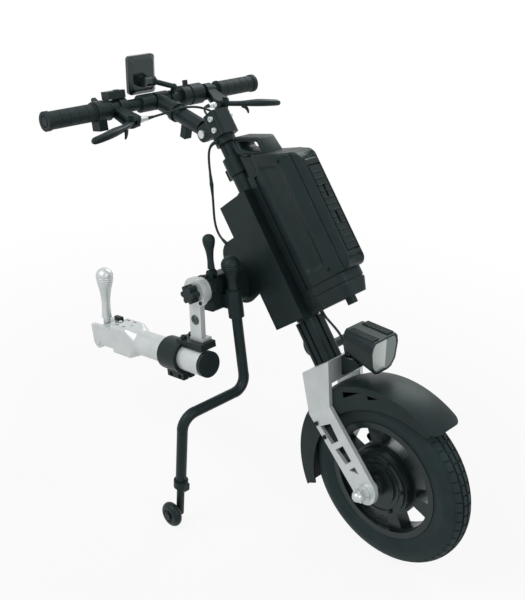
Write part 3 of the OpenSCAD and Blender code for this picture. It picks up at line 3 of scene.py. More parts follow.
import json
import math

import bmesh
import bpy
from mathutils import Matrix, Vector
from mathutils.geometry import tessellate_polygon


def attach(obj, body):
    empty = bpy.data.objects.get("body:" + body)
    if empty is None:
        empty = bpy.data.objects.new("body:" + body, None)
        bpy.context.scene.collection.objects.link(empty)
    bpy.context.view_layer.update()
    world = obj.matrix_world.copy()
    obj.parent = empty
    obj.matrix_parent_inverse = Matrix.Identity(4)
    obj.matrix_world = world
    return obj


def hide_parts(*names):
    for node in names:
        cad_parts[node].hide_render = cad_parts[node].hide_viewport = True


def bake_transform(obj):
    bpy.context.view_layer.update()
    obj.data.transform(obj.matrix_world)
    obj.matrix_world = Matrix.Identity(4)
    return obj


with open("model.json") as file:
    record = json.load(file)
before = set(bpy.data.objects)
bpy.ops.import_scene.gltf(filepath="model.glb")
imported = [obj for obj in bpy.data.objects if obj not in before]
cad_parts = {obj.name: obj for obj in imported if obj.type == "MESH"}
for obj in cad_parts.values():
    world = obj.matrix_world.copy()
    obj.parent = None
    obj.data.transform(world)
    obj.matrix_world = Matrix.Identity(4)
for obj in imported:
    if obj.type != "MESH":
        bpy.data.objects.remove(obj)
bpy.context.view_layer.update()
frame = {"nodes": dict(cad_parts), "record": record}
nodes = frame["nodes"]
scene = bpy.context.scene
scene.view_settings.view_transform = "Standard"

# Stance of the part, in metres: the riding frame starts at the axle, the column's on the steering axis
WHEEL_R = 0.1585
ORIGIN_SET = 0.26245
PARK_PITCH = math.radians(14.0)
RAKE = math.radians(28.6)
AXIS_SET = 0.019
RIDING = Matrix.Translation((ORIGIN_SET, 0.0, WHEEL_R)) @ Matrix.Rotation(-PARK_PITCH, 4, "Y")
COLUMN = RIDING @ Matrix.Translation((-AXIS_SET, 0.0, 0.0)) @ Matrix.Rotation(-RAKE, 4, "Y")
SIDES = (("right", -1.0), ("left", 1.0))


def standing(at, lean=0.0, on=RIDING):
    """A frame at a point of another one, with its top leaned forward by some degrees."""
    return on @ Matrix.Translation(at) @ Matrix.Rotation(math.radians(lean), 4, "Y")


# Camera at the photograph's viewing angle
CAMERA_AT = (0.90455, -1.0179, 1.1266)
CAMERA_RIGHT = (0.6949, 0.7161, 0.0669)
CAMERA_UP = (-0.3858, 0.2927, 0.8750)
CAMERA_LENS = 52.32
SENSOR_WIDTH = 36.0
CLIP_NEAR = 0.05
CLIP_FAR = 50.0


def make_camera():
    data = bpy.data.cameras.new("camera")
    data.lens = CAMERA_LENS
    data.sensor_width = SENSOR_WIDTH
    data.clip_start = CLIP_NEAR
    data.clip_end = CLIP_FAR
    camera = bpy.data.objects.new("camera", data)
    right = Vector(CAMERA_RIGHT).normalized()
    back = right.cross(Vector(CAMERA_UP)).normalized()
    up = back.cross(right)
    axes = Matrix((right, up, back)).transposed().to_4x4()
    camera.matrix_world = Matrix.Translation(Vector(CAMERA_AT)) @ axes
    scene.collection.objects.link(camera)
    scene.camera = camera


make_camera()


# Materials: noise scales in features per metre, the height of the grain in metres
MM = 0.001
WHITE = (1.0, 1.0, 1.0)
COOL_TINT = (0.78, 1.0, 1.0)
NOISE_LOW = 0.3
NOISE_HIGH = 0.7
TONE_SCALE = 35.0
TONE_DETAIL = 4.0
WEAR_AND_SHEEN_SCALE = 160.0
WEAR_AND_SHEEN_RANGE = (0.15, 0.9)
GRAIN_DETAIL = 3.0
GRAIN_HEIGHT = 0.0003
ROUGH_SPREAD = 0.07
COAT_ROUGH = 0.12
BEVEL_SAMPLES = 4
EDGE_RANGE = (0.80, 0.985)


def node_of(tree, kind, **values):
    node = tree.nodes.new(kind)
    for key, value in values.items():
        setattr(node, key, value)
    return node


def noise_of(tree, scale, detail):
    """A noise over the object's own coordinates, in features per metre."""
    where = node_of(tree, "ShaderNodeTexCoord")
    noise = node_of(tree, "ShaderNodeTexNoise")
    noise.inputs["Scale"].default_value = scale
    noise.inputs["Detail"].default_value = detail
    tree.links.new(where.outputs["Object"], noise.inputs["Vector"])
    return noise.outputs["Fac"]


def ranged(tree, value, low, high, from_low=NOISE_LOW, from_high=NOISE_HIGH):
    """A value moved from one range to another, and held at its ends."""
    mapped = node_of(tree, "ShaderNodeMapRange")
    mapped.inputs["From Min"].default_value = from_low
    mapped.inputs["From Max"].default_value = from_high
    mapped.inputs["To Min"].default_value = low
    mapped.inputs["To Max"].default_value = high
    tree.links.new(value, mapped.inputs["Value"])
    return mapped.outputs["Result"]


def mixed(tree, factor, a, b):
    """A colour between two, each a colour or a socket."""
    mix = node_of(tree, "ShaderNodeMix", data_type="RGBA")
    tree.links.new(factor, mix.inputs["Factor"])
    for value, socket in ((a, mix.inputs["A"]), (b, mix.inputs["B"])):
        if isinstance(value, bpy.types.NodeSocket):
            tree.links.new(value, socket)
        else:
            socket.default_value = (*value, 1.0)
    return mix.outputs["Result"]


def joined(tree, operation, a, b):
    """Two values made into one, such as their product or the larger of them."""
    node = node_of(tree, "ShaderNodeMath", operation=operation)
    tree.links.new(a, node.inputs[0])
    tree.links.new(b, node.inputs[1])
    return node.outputs["Value"]


def shaders_mixed(tree, factor, a, b):
    """The first shader at 0, the second at 1."""
    mix = node_of(tree, "ShaderNodeMixShader")
    tree.links.new(factor, mix.inputs["Fac"])
    tree.links.new(a, mix.inputs[1])
    tree.links.new(b, mix.inputs[2])
    return mix.outputs["Shader"]


def bump_of(tree, value, strength):
    """A bump over a surface from a value, as deep as the grain."""
    bump = node_of(tree, "ShaderNodeBump")
    bump.inputs["Strength"].default_value = strength
    bump.inputs["Distance"].default_value = GRAIN_HEIGHT
    tree.links.new(value, bump.inputs["Height"])
    return bump


def new_material(name):
    """A plain material, with its node tree and its shader."""
    material = bpy.data.materials.new(name)
    material.use_nodes = True
    tree = material.node_tree
    return material, tree, tree.nodes["Principled BSDF"]


def edge_mask(tree, bevel):
    """1 along the rounded edges of a solid, 0 on its faces."""
    geometry = node_of(tree, "ShaderNodeNewGeometry")
    dot = node_of(tree, "ShaderNodeVectorMath", operation="DOT_PRODUCT")
    tree.links.new(bevel.outputs["Normal"], dot.inputs[0])
    tree.links.new(geometry.outputs["Normal"], dot.inputs[1])
    return ranged(tree, dot.outputs["Value"], 1.0, 0.0, *EDGE_RANGE)


def finish_of(name, dark, light, rough, grain, bump, metal=0.0, edge=None, round_mm=0.5, coat=0.0,
              specular=0.5, tint=COOL_TINT):
    """A surface with a slow change of tone, a fine grain in its roughness and height, and edges painted
    lighter in patches: wear, and a painted highlight.
    """
    material, tree, shader = new_material(name)
    shader.inputs["Metallic"].default_value = metal
    shader.inputs["Specular IOR Level"].default_value = specular
    shader.inputs["Specular Tint"].default_value = (*tint, 1.0)
    shader.inputs["Coat Weight"].default_value = coat
    shader.inputs["Coat Roughness"].default_value = COAT_ROUGH
    tone = ranged(tree, noise_of(tree, TONE_SCALE, TONE_DETAIL), 0.0, 1.0)
    colour = mixed(tree, tone, dark, light)
    bevel = node_of(tree, "ShaderNodeBevel", samples=BEVEL_SAMPLES)
    bevel.inputs["Radius"].default_value = round_mm * MM
    if edge is not None:
        # Edges take a lighter colour in patches: wear, and a painted highlight along the edges
        patchy = ranged(tree, noise_of(tree, WEAR_AND_SHEEN_SCALE, GRAIN_DETAIL), *WEAR_AND_SHEEN_RANGE)
        wear_and_sheen = joined(tree, "MULTIPLY", edge_mask(tree, bevel), patchy)
        colour = mixed(tree, wear_and_sheen, colour, edge)
    tree.links.new(colour, shader.inputs["Base Color"])
    fine = noise_of(tree, grain, GRAIN_DETAIL)
    roughness = ranged(tree, fine, rough - ROUGH_SPREAD, rough + ROUGH_SPREAD)
    tree.links.new(roughness, shader.inputs["Roughness"])
    height = bump_of(tree, fine, bump)
    tree.links.new(bevel.outputs["Normal"], height.inputs["Normal"])
    tree.links.new(height.outputs["Normal"], shader.inputs["Normal"])
    return material


# Edge colours, lighter than each finish: a painted highlight along the edges, with wear
GREY_EDGE_SHEEN = (0.050, 0.068, 0.070)
FINISHES = {
    "tyre": finish_of(
        "tyre_rubber", (0.0108, 0.018, 0.019), (0.0168, 0.028, 0.029),
        rough=0.66, grain=1400.0, bump=0.35, edge=(0.036, 0.048, 0.050), round_mm=0.7, specular=0.26),
    "wheel_black": finish_of(
        "wheel_paint", (0.0051, 0.0085, 0.009), (0.0075, 0.0125, 0.013),
        rough=0.36, grain=1800.0, bump=0.10, edge=GREY_EDGE_SHEEN, coat=0.12, specular=0.34),
    "frame_black": finish_of(
        "powder_coat", (0.0081, 0.0135, 0.014), (0.012, 0.020, 0.021),
        rough=0.42, grain=1500.0, bump=0.20, edge=GREY_EDGE_SHEEN, specular=0.20),
    "silver": finish_of(
        "satin_aluminium", (0.57, 0.61, 0.605), (0.645, 0.685, 0.68),
        rough=0.40, grain=2600.0, bump=0.05, metal=0.52, edge=(0.80, 0.84, 0.84), round_mm=0.7, tint=WHITE),
    "steel": finish_of(
        "plated_steel", (0.58, 0.62, 0.62), (0.68, 0.71, 0.71),
        rough=0.34, grain=1800.0, bump=0.05, metal=0.6, edge=(0.85, 0.87, 0.87), round_mm=0.3),
    "plastic_black": finish_of(
        "moulded_plastic", (0.0078, 0.013, 0.0135), (0.0117, 0.0195, 0.0205),
        rough=0.42, grain=2200.0, bump=0.26, edge=(0.04, 0.054, 0.056), round_mm=0.8, specular=0.22),
    "gloss_black": finish_of(
        "gloss_plastic", (0.0042, 0.007, 0.0075), (0.0066, 0.011, 0.0115),
        rough=0.18, grain=900.0, bump=0.03, edge=GREY_EDGE_SHEEN, coat=0.3),
    "grip_rubber": finish_of(
        "grip_rubber", (0.0069, 0.0115, 0.012), (0.0108, 0.018, 0.019),
        rough=0.55, grain=2400.0, bump=0.35, edge=(0.032, 0.044, 0.045), round_mm=0.6, specular=0.26),
    "cable": finish_of(
        "cable_sheath", (0.0057, 0.0095, 0.010), (0.009, 0.015, 0.016),
        rough=0.42, grain=1600.0, bump=0.08, specular=0.3),
}

# Lamp window, in the part's own coordinates: a painted reflection on one half, painted shade on the other
LENS_SIDE = -0.030
LENS_SPLIT = 0.004
LENS_SPLIT_HALF = 0.0006
LENS_LOW = 0.353
LENS_FOOT = 0.006
LENS_OUTER_TONE = (0.40, 0.47, 0.45)
LENS_REFLECTION_TONE = (0.66, 0.72, 0.69)
LENS_SHADE_TONE = (0.11, 0.155, 0.155)
LENS_FOOT_TONE = (0.10, 0.13, 0.13)
LENS_RIB_SCALE = 60.0
LENS_ROUGH_RANGE = (0.10, 0.22)
LENS_BUMP = 0.12
LENS_COAT = 0.5
LENS_COAT_ROUGH = 0.06


def lens_finish():
    """A lamp window: painted reflection on one half, painted shade on the other, dark along the lower edge.
    """
    material, tree, shader = new_material("lamp_window")
    shader.inputs["Coat Weight"].default_value = LENS_COAT
    shader.inputs["Coat Roughness"].default_value = LENS_COAT_ROUGH
    where = node_of(tree, "ShaderNodeTexCoord")
    split = node_of(tree, "ShaderNodeSeparateXYZ")
    tree.links.new(where.outputs["Object"], split.inputs["Vector"])
    sideways, upwards = split.outputs["Y"], split.outputs["Z"]
    # One half is painted shade, the other a painted reflection that fades towards the outer side
    side = ranged(tree, sideways, 0.0, 1.0, LENS_SPLIT - LENS_SPLIT_HALF, LENS_SPLIT + LENS_SPLIT_HALF)
    slope = ranged(tree, sideways, 0.0, 1.0, LENS_SIDE, LENS_SPLIT)
    bright = mixed(tree, slope, LENS_OUTER_TONE, LENS_REFLECTION_TONE)
    colour = mixed(tree, side, bright, LENS_SHADE_TONE)
    foot = ranged(tree, upwards, 0.0, 1.0, LENS_LOW, LENS_LOW + LENS_FOOT)
    tree.links.new(mixed(tree, foot, LENS_FOOT_TONE, colour), shader.inputs["Base Color"])
    ribs = node_of(tree, "ShaderNodeTexWave", wave_type="BANDS", bands_direction="Y")
    ribs.inputs["Scale"].default_value = LENS_RIB_SCALE
    tree.links.new(where.outputs["Object"], ribs.inputs["Vector"])
    roughness = ranged(tree, ribs.outputs["Fac"], *LENS_ROUGH_RANGE, 0.0, 1.0)
    tree.links.new(roughness, shader.inputs["Roughness"])
    height = bump_of(tree, ribs.outputs["Fac"], LENS_BUMP)
    tree.links.new(height.outputs["Normal"], shader.inputs["Normal"])
    return material


FINISHES["lens"] = lens_finish()


def dress_nodes():
    """Each solid takes the finish that its record names."""
    for row in frame["record"]["subparts"]:
        solid = nodes[row["node"]]
        solid.data.materials.clear()
        solid.data.materials.append(FINISHES[row["material_slot"]])


dress_nodes()


# Cables: their routes in metres, as they hang
CABLE_R = 0.0022
MAST_ROUTE = ((-0.327, -0.022, 0.565), (-0.330, -0.030, 0.563), (-0.339, -0.032, 0.551),
              (-0.344, -0.030, 0.524), (-0.345, -0.029, 0.490))
FRAME_ROUTE = ((-0.345, -0.029, 0.4895), (-0.346, -0.029, 0.456), (-0.349, -0.030, 0.427),
               (-0.344, -0.031, 0.404), (-0.333, -0.0315, 0.391), (-0.319, -0.0315, 0.3825))
LAMP_ROUTE = ((0.038, 0.0, 0.2956), (0.039, 0.0, 0.288), (0.046, 0.0, 0.272), (0.054, 0.0, 0.254),
              (0.057, 0.0, 0.238), (0.053, 0.0, 0.224), (0.0494, 0.0, 0.210))
BRAKE_RIGHT_ROUTE = ((-0.4496, -0.0750, 0.6133), (-0.4496, -0.0627, 0.6133), (-0.440, -0.032, 0.6175),
                     (-0.430, -0.004, 0.6225), (-0.424, 0.018, 0.6205), (-0.414, 0.035, 0.615),
                     (-0.392, 0.0385, 0.606), (-0.366, 0.034, 0.5995), (-0.347, 0.0285, 0.597),
                     (-0.340, 0.023, 0.5965))
BRAKE_LEFT_ROUTE = ((-0.4496, 0.0750, 0.6133), (-0.4496, 0.0627, 0.6133), (-0.435, 0.049, 0.605),
                    (-0.408, 0.042, 0.594), (-0.376, 0.036, 0.587), (-0.351, 0.030, 0.584),
                    (-0.342, 0.023, 0.583))
ROUTE_STEPS = 8
EASE_ROUNDS = 40
TUBE_SIDES = 14

# Boots over the cables' ends: lengths in metres, thicknesses and ribs in cable radii
BOOT_LEN = 0.013
BOOT_THICK = 1.75
BOOT_THIN = 1.15
JOINT_LEN = 0.016
JOINT_THICK = 1.7
BOOT_STEPS = 6
RIB_DEPTH = 0.14
RIB_STEPS = 4
RIB_FROM_SHARE = 0.2


def smooth_route(points, steps=ROUTE_STEPS):
    """A smooth curve through the route's points."""
    p = [Vector(q) for q in points]
    line = []
    for i in range(len(p) - 1):
        a, b, c, d = p[max(i - 1, 0)], p[i], p[i + 1], p[min(i + 2, len(p) - 1)]
        for k in range(steps):
            s = k / steps
            line.append(0.5 * (2 * b + (c - a) * s + (2 * a - 5 * b + 4 * c - d) * s ** 2
                               + (3 * b - a - 3 * c + d) * s ** 3))
    line.append(p[-1])
    return line


def mesh_piece(name, points, faces, finish):
    mesh = bpy.data.meshes.new(name)
    mesh.from_pydata([tuple(p) for p in points], [], faces)
    mesh.validate()
    mesh.update()
    for polygon in mesh.polygons:
        polygon.use_smooth = True
    piece = bpy.data.objects.new(name, mesh)
    piece.data.materials.append(FINISHES[finish])
    scene.collection.objects.link(piece)
    return piece


def heading(line, i):
    """Direction of a line at one of its points."""
    return (line[min(i + 1, len(line) - 1)] - line[max(i - 1, 0)]).normalized()


def ring_faces(rings, count):
    """Faces of a shell over rings of points, closed at both ends."""
    faces = []
    for i in range(rings - 1):
        for k in range(count):
            n = (k + 1) % count
            faces.append((i * count + k, i * count + n, (i + 1) * count + n, (i + 1) * count + k))
    faces.append(tuple(range(count - 1, -1, -1)))
    faces.append(tuple((rings - 1) * count + k for k in range(count)))
    return faces


def tube_shell(line, radii, sides=TUBE_SIDES):
    """Points and faces of a round tube along a line."""
    points = []
    across = None
    for i, at in enumerate(line):
        ahead = heading(line, i)
        if across is None:
            across = ahead.orthogonal().normalized()
        across = (across - ahead * across.dot(ahead)).normalized()
        up = ahead.cross(across)
        for k in range(sides):
            turn = 2 * math.pi * k / sides
            points.append(at + radii[i] * (math.cos(turn) * across + math.sin(turn) * up))
    return points, ring_faces(len(line), sides)


def eased(line):
    """A line with its tight bends opened, held at both ends."""
    line = list(line)
    for _ in range(EASE_ROUNDS):
        middle = [(a + 2 * b + c) / 4 for a, b, c in zip(line, line[1:], line[2:])]
        line = line[:2] + middle[1:-1] + line[-2:]
    return line


def cable(name, route, on=RIDING):
    """A round cable on its route, as it hangs."""
    line = [on @ p for p in eased(smooth_route(route))]
    points, faces = tube_shell(line, [CABLE_R] * len(line))
    piece = mesh_piece(name, points, faces, "cable")
    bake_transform(piece)
    return piece, line


def boot(name, line, body, length=BOOT_LEN, thick=BOOT_THICK):
    """A tapered sleeve over the first stretch of a cable, with ribs round it."""
    gone = 0.0
    part = [line[0]]
    for p, q in zip(line, line[1:]):
        gone += (q - p).length
        part.append(q)
        if gone > length:
            break
    fine = smooth_route(part, BOOT_STEPS)
    radii = []
    for i in range(len(fine)):
        along = i / (len(fine) - 1)
        grooved = i % RIB_STEPS < RIB_STEPS // 2 and along > RIB_FROM_SHARE
        taper = thick - (thick - BOOT_THIN) * along
        radii.append(CABLE_R * (taper - (RIB_DEPTH if grooved else 0.0)))
    points, faces = tube_shell(fine, radii)
    piece = mesh_piece(name, points, faces, "cable")
    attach(piece, body)
    return piece


def make_cables():
    mast, mast_line = cable("mast_wire", MAST_ROUTE)
    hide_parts("mast_cable")
    top_boot = boot("mast_wire_boot", mast_line, "mast")
    joint = boot("wire_joint_upper", mast_line[::-1], "steer", JOINT_LEN, JOINT_THICK)
    low, low_line = cable("frame_wire", FRAME_ROUTE)
    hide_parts("frame_cable")
    joint = boot("wire_joint_lower", low_line, "steer", JOINT_LEN, JOINT_THICK)
    low_boot = boot("frame_wire_boot", low_line[::-1], "frame")
    lamp, lamp_line = cable("lamp_wire", LAMP_ROUTE, COLUMN)
    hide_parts("lamp_cable")
    boots = (boot("lamp_wire_boot_upper", lamp_line, "frame"),
             boot("lamp_wire_boot_lower", lamp_line[::-1], "steer"))
    for side, route in (("right", BRAKE_RIGHT_ROUTE), ("left", BRAKE_LEFT_ROUTE)):
        brake, brake_line = cable("brake_wire_" + side, route)
        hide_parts("brake_cables")
        ends = (boot("brake_boot_bar_" + side, brake_line, "stem"),
                boot("brake_boot_head_" + side, brake_line[::-1], "mast"))


make_cables()


# Tyre: the casing with its tread of staggered blocks, and low rings on its side walls
TYRE_MID_R = 0.130
TYRE_R = 0.0285
BEAD_R = 0.1015
BEAD_HALF = 0.016
BEAD_OFFSETS = ((0.006, 0.005), (0.001, 0.0), (0.0, -0.001))
TREAD_PITCHES = 54
TREAD_DEPTH = 0.0030
GROOVES = (-2, -1, 0, 1, 2)
GROOVE_HALF = 0.0015
GROOVE_GAP = 0.010
BLOCK_SHARES = (0.33, 0.66)
SHOULDER_Y = 0.0205
SHOULDER_DEPTH_SHARE = 0.35
WALL_STEP = 0.0002
HALF_PITCHES = (0.0, 0.5)
CUT_SHARES = (0.0, 0.015, 0.155, 0.17)
CUT_FLOOR = (1, 2)
WALL_STEPS = 13
WALL_END = 100.0
RING_TURNS = (58.0, 74.0, 92.0)
RING_SPREAD = 2.2
RING_RISE = 0.0006
TREAD_SHARP = math.radians(35.0)


def stagger_at(y):
    """Which half of a pitch the cross cuts have at a sideways place."""
    return 0 if abs(y) < GROOVE_GAP else 1


def tread_rows():
    """Sideways places over the tread, with the depth of the groove there and the stagger of the cuts."""
    rows = []
    for groove in GROOVES:
        shoulder = abs(groove) == GROOVES[-1]
        middle = math.copysign(SHOULDER_Y, groove) if shoulder else groove * GROOVE_GAP
        sunk = SHOULDER_DEPTH_SHARE if shoulder else 1.0
        for off, depth in ((-GROOVE_HALF - WALL_STEP, 0.0), (-GROOVE_HALF, sunk), (GROOVE_HALF, sunk),
                           (GROOVE_HALF + WALL_STEP, 0.0)):
            y = middle + off
            rows.append((y, depth, stagger_at(y) if abs(y) < SHOULDER_Y else None))
        if groove < GROOVES[-1]:
            for share in BLOCK_SHARES:
                y = middle + share * GROOVE_GAP
                rows.append((y, 0.0, stagger_at(y)))
    return rows


def tyre_profile():
    """The section from one bead to the other: radius, sideways place, depth and stagger."""
    tread = [(TYRE_MID_R + math.sqrt(TYRE_R ** 2 - y ** 2), y, depth, stagger)
             for y, depth, stagger in tread_rows()]
    side = []
    start = math.degrees(math.asin((SHOULDER_Y + 2 * GROOVE_HALF) / TYRE_R))
    for i in range(WALL_STEPS + 1):
        turn = start + (WALL_END - start) * i / WALL_STEPS
        rise = max(RING_RISE * max(0.0, 1.0 - abs(turn - ring) / RING_SPREAD) for ring in RING_TURNS)
        reach = TYRE_R + rise - RING_RISE
        angle = math.radians(turn)
        side.append((TYRE_MID_R + reach * math.cos(angle), reach * math.sin(angle), 0.0, None))
    side += [(BEAD_R + out, BEAD_HALF + wide, 0.0, None) for out, wide in BEAD_OFFSETS]
    return [(r, -y, d, k) for r, y, d, k in reversed(side)] + tread + side


def make_tyre():
    profile = tyre_profile()
    count = len(profile)
    columns = [(pitch + half + share) / TREAD_PITCHES for pitch in range(TREAD_PITCHES)
               for half in HALF_PITCHES for share in CUT_SHARES]
    points, faces = [], []
    for c, turn in enumerate(columns):
        angle = 2 * math.pi * turn
        cut_half = (c // len(CUT_SHARES)) % len(HALF_PITCHES)
        in_cut = c % len(CUT_SHARES) in CUT_FLOOR
        for r, y, depth, stagger in profile:
            cut = 1.0 if stagger is not None and in_cut and stagger == cut_half else 0.0
            reach = r - TREAD_DEPTH * max(depth, cut)
            points.append(RIDING @ Vector((reach * math.cos(angle), y, reach * math.sin(angle))))
    for c in range(len(columns)):
        n = (c + 1) % len(columns)
        for i in range(count):
            j = (i + 1) % count
            faces.append((c * count + i, c * count + j, n * count + j, n * count + i))
    tyre = mesh_piece("tyre_casing", points, faces, "tyre")
    tyre.data.set_sharp_from_angle(angle=TREAD_SHARP)
    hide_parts("tyre")
    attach(tyre, "wheel")


make_tyre()


# Turned handles: a sleeve over each pear handle, with rings round its head
NECK_SHARES = ((0.0, 0.55), (0.32, 0.47), (0.62, 0.62), (0.86, 0.92), (1.0, 1.0))
DOME_TURNS = (15.0, 30.0, 45.0, 60.0, 75.0, 90.0)
SLEEVE_T = 0.0010
RING_DEPTH = 0.0009
RING_HALF = 0.0014
RING_COUNT = 5
RING_GAP_SHARE = 0.26
RING_STEP_SHARES = (-1.0, -0.5, 0.0, 0.5, 1.0)
PEAR_STEPS = 8
TURNED_SIDES = 40
TURNED_SHARP = math.radians(38.0)
TIP_R = 0.0002
TINY = 1e-9

# Their pivots in metres, leans in degrees, heights over the pivot, lengths and radii
CLAMP_HANDLE_AT = (-0.590, -0.146, 0.182)
CLAMP_HANDLE_LEAN = 11.0
CLAMP_HANDLE_RISE = 0.049
CLAMP_HANDLE_LEN = 0.105
CLAMP_HANDLE_R = 0.016
LOCK_HANDLE_AT = (-0.276, -0.110, 0.356)
LOCK_HANDLE_LEAN = 3.0
LOCK_HANDLE_RISE = 0.009
LOCK_HANDLE_LEN = 0.060
LOCK_HANDLE_R = 0.010
LEG_HANDLE_X = -0.2526
LEG_HANDLE_Y = 0.0853
LEG_HANDLE_Z = 0.324
LEG_HANDLE_LEN = 0.058
LEG_HANDLE_R = 0.016


def revolve(name, profile, place, finish, sides=TURNED_SIDES):
    """A turned piece from its radii and heights, in the frame of its own axis."""
    points = []
    for r, z in profile:
        for k in range(sides):
            turn = 2 * math.pi * k / sides
            points.append(place @ Vector((r * math.cos(turn), r * math.sin(turn), z)))
    piece = mesh_piece(name, points, ring_faces(len(profile), sides), finish)
    piece.data.set_sharp_from_angle(angle=TURNED_SHARP)
    return piece


def level(curve, z):
    """Radius of an outline at a height, from the two points about it."""
    line = sorted(curve)
    for (z_a, r_a), (z_b, r_b) in zip(line, line[1:]):
        if z_a <= z <= z_b:
            return r_a + (r_b - r_a) * (z - z_a) / max(z_b - z_a, TINY)
    return line[-1][1]


def pear_sleeve(name, place, length, radius, finish, body, rings):
    """A waisted neck under a round head, with rings sunk below the head's widest place."""
    rise = length - radius
    half = [(share * radius, 0.0, up * rise) for up, share in NECK_SHARES]
    for turn in DOME_TURNS:
        angle = math.radians(turn)
        half.append((radius * math.cos(angle), 0.0, rise + radius * math.sin(angle)))
    grooves = [rise - i * RING_GAP_SHARE * radius for i in range(RING_COUNT)] if rings else []
    curve = [(p.z, p.x) for p in smooth_route(half, PEAR_STEPS)]
    for groove in grooves:
        for share in RING_STEP_SHARES:
            z = groove + share * RING_HALF
            curve.append((z, level(curve, z)))
    profile = []
    for z, r in sorted(curve):
        off = min((abs(z - groove) for groove in grooves), default=math.inf)
        sunk = RING_DEPTH * max(0.0, 1.0 - off / RING_HALF)
        profile.append((max(r + SLEEVE_T - sunk, TIP_R), z + SLEEVE_T * z / length))
    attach(revolve(name, profile, place, finish), body)


def make_handles():
    clamp_foot = Matrix.Translation((0.0, 0.0, CLAMP_HANDLE_RISE))
    pear_sleeve("clamp_handle", standing(CLAMP_HANDLE_AT, CLAMP_HANDLE_LEAN) @ clamp_foot,
                CLAMP_HANDLE_LEN, CLAMP_HANDLE_R, "silver", "clamp_lever", True)
    lock_foot = Matrix.Translation((0.0, 0.0, LOCK_HANDLE_RISE))
    pear_sleeve("lock_handle", standing(LOCK_HANDLE_AT, LOCK_HANDLE_LEAN) @ lock_foot,
                LOCK_HANDLE_LEN, LOCK_HANDLE_R, "grip_rubber", "lock", False)
    for side, sign in SIDES:
        pear_sleeve("leg_handle_" + side, standing((LEG_HANDLE_X, sign * LEG_HANDLE_Y, LEG_HANDLE_Z)),
                    LEG_HANDLE_LEN, LEG_HANDLE_R, "grip_rubber", "leg_" + side, True)


make_handles()


# Plates: each corner's side across and up, and the angle at which its round starts
PLATE_CORNERS = ((1, 1, 0.0), (-1, 1, 90.0), (-1, -1, 180.0), (1, -1, 270.0))
CORNER_TURN = 90.0
CORNER_STEPS = 6
PLATE_BEVEL = 0.0006
BEVEL_SHARE = 0.3
PLATE_SHARP = math.radians(30.0)


def rounded_plate(name, place, size, radius, thick, finish, body, bevel=PLATE_BEVEL):
    """A plate with rounded corners and softened edges, standing across its frame's x axis."""
    outline = []
    for cx, cy, start in PLATE_CORNERS:
        for k in range(CORNER_STEPS + 1):
            turn = math.radians(start + CORNER_TURN * k / CORNER_STEPS)
            outline.append((cx * (size[0] / 2 - radius) + radius * math.cos(turn),
                            cy * (size[1] / 2 - radius) + radius * math.sin(turn)))
    mid_bevel = bevel * BEVEL_SHARE
    layers = ((0.0, 0.0), (0.0, thick - bevel), (mid_bevel, thick - mid_bevel), (bevel, thick))
    points = []
    for shrink, lift in layers:
        narrow = 1 - 2 * shrink / size[0]
        short = 1 - 2 * shrink / size[1]
        points += [place @ Vector((lift, y * narrow, z * short)) for y, z in outline]
    piece = mesh_piece(name, points, ring_faces(len(layers), len(outline)), finish)
    piece.data.set_sharp_from_angle(angle=PLATE_SHARP)
    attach(piece, body)


# Display: its glass and its row of keys, on the side that faces the rider
DISPLAY_AT = (-0.523, -0.0185, 0.685)
DISPLAY_LEAN = 10.0
DISPLAY_BACK = (-0.0056, 0.0, 0.0)
HALF_TURN = Matrix.Rotation(math.pi, 4, "Z")
GLASS_SIZE = (0.0468, 0.0568)
GLASS_ROUND = 0.0035
GLASS_T = 0.0011
KEY_STEPS = (-1, 0, 1)
KEY_GAP = 0.013
KEY_Z = -0.0225
KEY_SIZE = (0.009, 0.005)
KEY_ROUND = 0.002
KEY_T = 0.0009


def make_display():
    back = standing(DISPLAY_AT, DISPLAY_LEAN) @ Matrix.Translation(DISPLAY_BACK) @ HALF_TURN
    rounded_plate("display_glass", back, GLASS_SIZE, GLASS_ROUND, GLASS_T, "gloss_black", "display")
    for i, step in enumerate(KEY_STEPS):
        place = back @ Matrix.Translation((GLASS_T, step * KEY_GAP, KEY_Z))
        rounded_plate("display_key_%d" % (i + 1), place, KEY_SIZE, KEY_ROUND, KEY_T,
                      "plastic_black", "display")


make_display()


# Battery: a moulded shell with rounded corners, a sunk panel on each side and a seam round its front
CASE_BACK = 0.066
CASE_FRONT = 0.170
CASE_LOW = 0.337
CASE_HIGH = 0.588
CASE_SLOPE = 0.046
CASE_HALF = 0.032
CASE_CORNERS = ((0.0, 0.62, 0.003), (0.10, 1.0, 0.006), (0.66, 1.0, 0.008), (1.0, 0.56, 0.008))
CASE_STEP = 0.0016
FILLET_STEPS = 6
TOP_ROUND = 0.014
FOOT_ROUND = 0.017
EDGE_ROUND = 0.0045
SEAM_AT = (0.1544, 0.0237)
SEAM_HALF = 0.0017
SEAM_DEPTH = 0.0028
SEAM_POWER = 4
PANEL_FROM = 0.0764
PANEL_TO = 0.1263
PANEL_EDGE = 0.020
PANEL_ROUND = 0.012
PANEL_SLOPE = 0.008
PANEL_DEPTH = 0.005
POCKET_HALF = 0.0145
POCKET_LOW = 0.362
POCKET_HIGH = 0.516
POCKET_DEPTH = 0.004
WALL_GAP = 0.0003
LOW_ROWS = 12
POCKET_ROWS = 52
HIGH_ROWS = 26
MERGE_GAP = 0.00001
CASE_SHARP = math.radians(50.0)


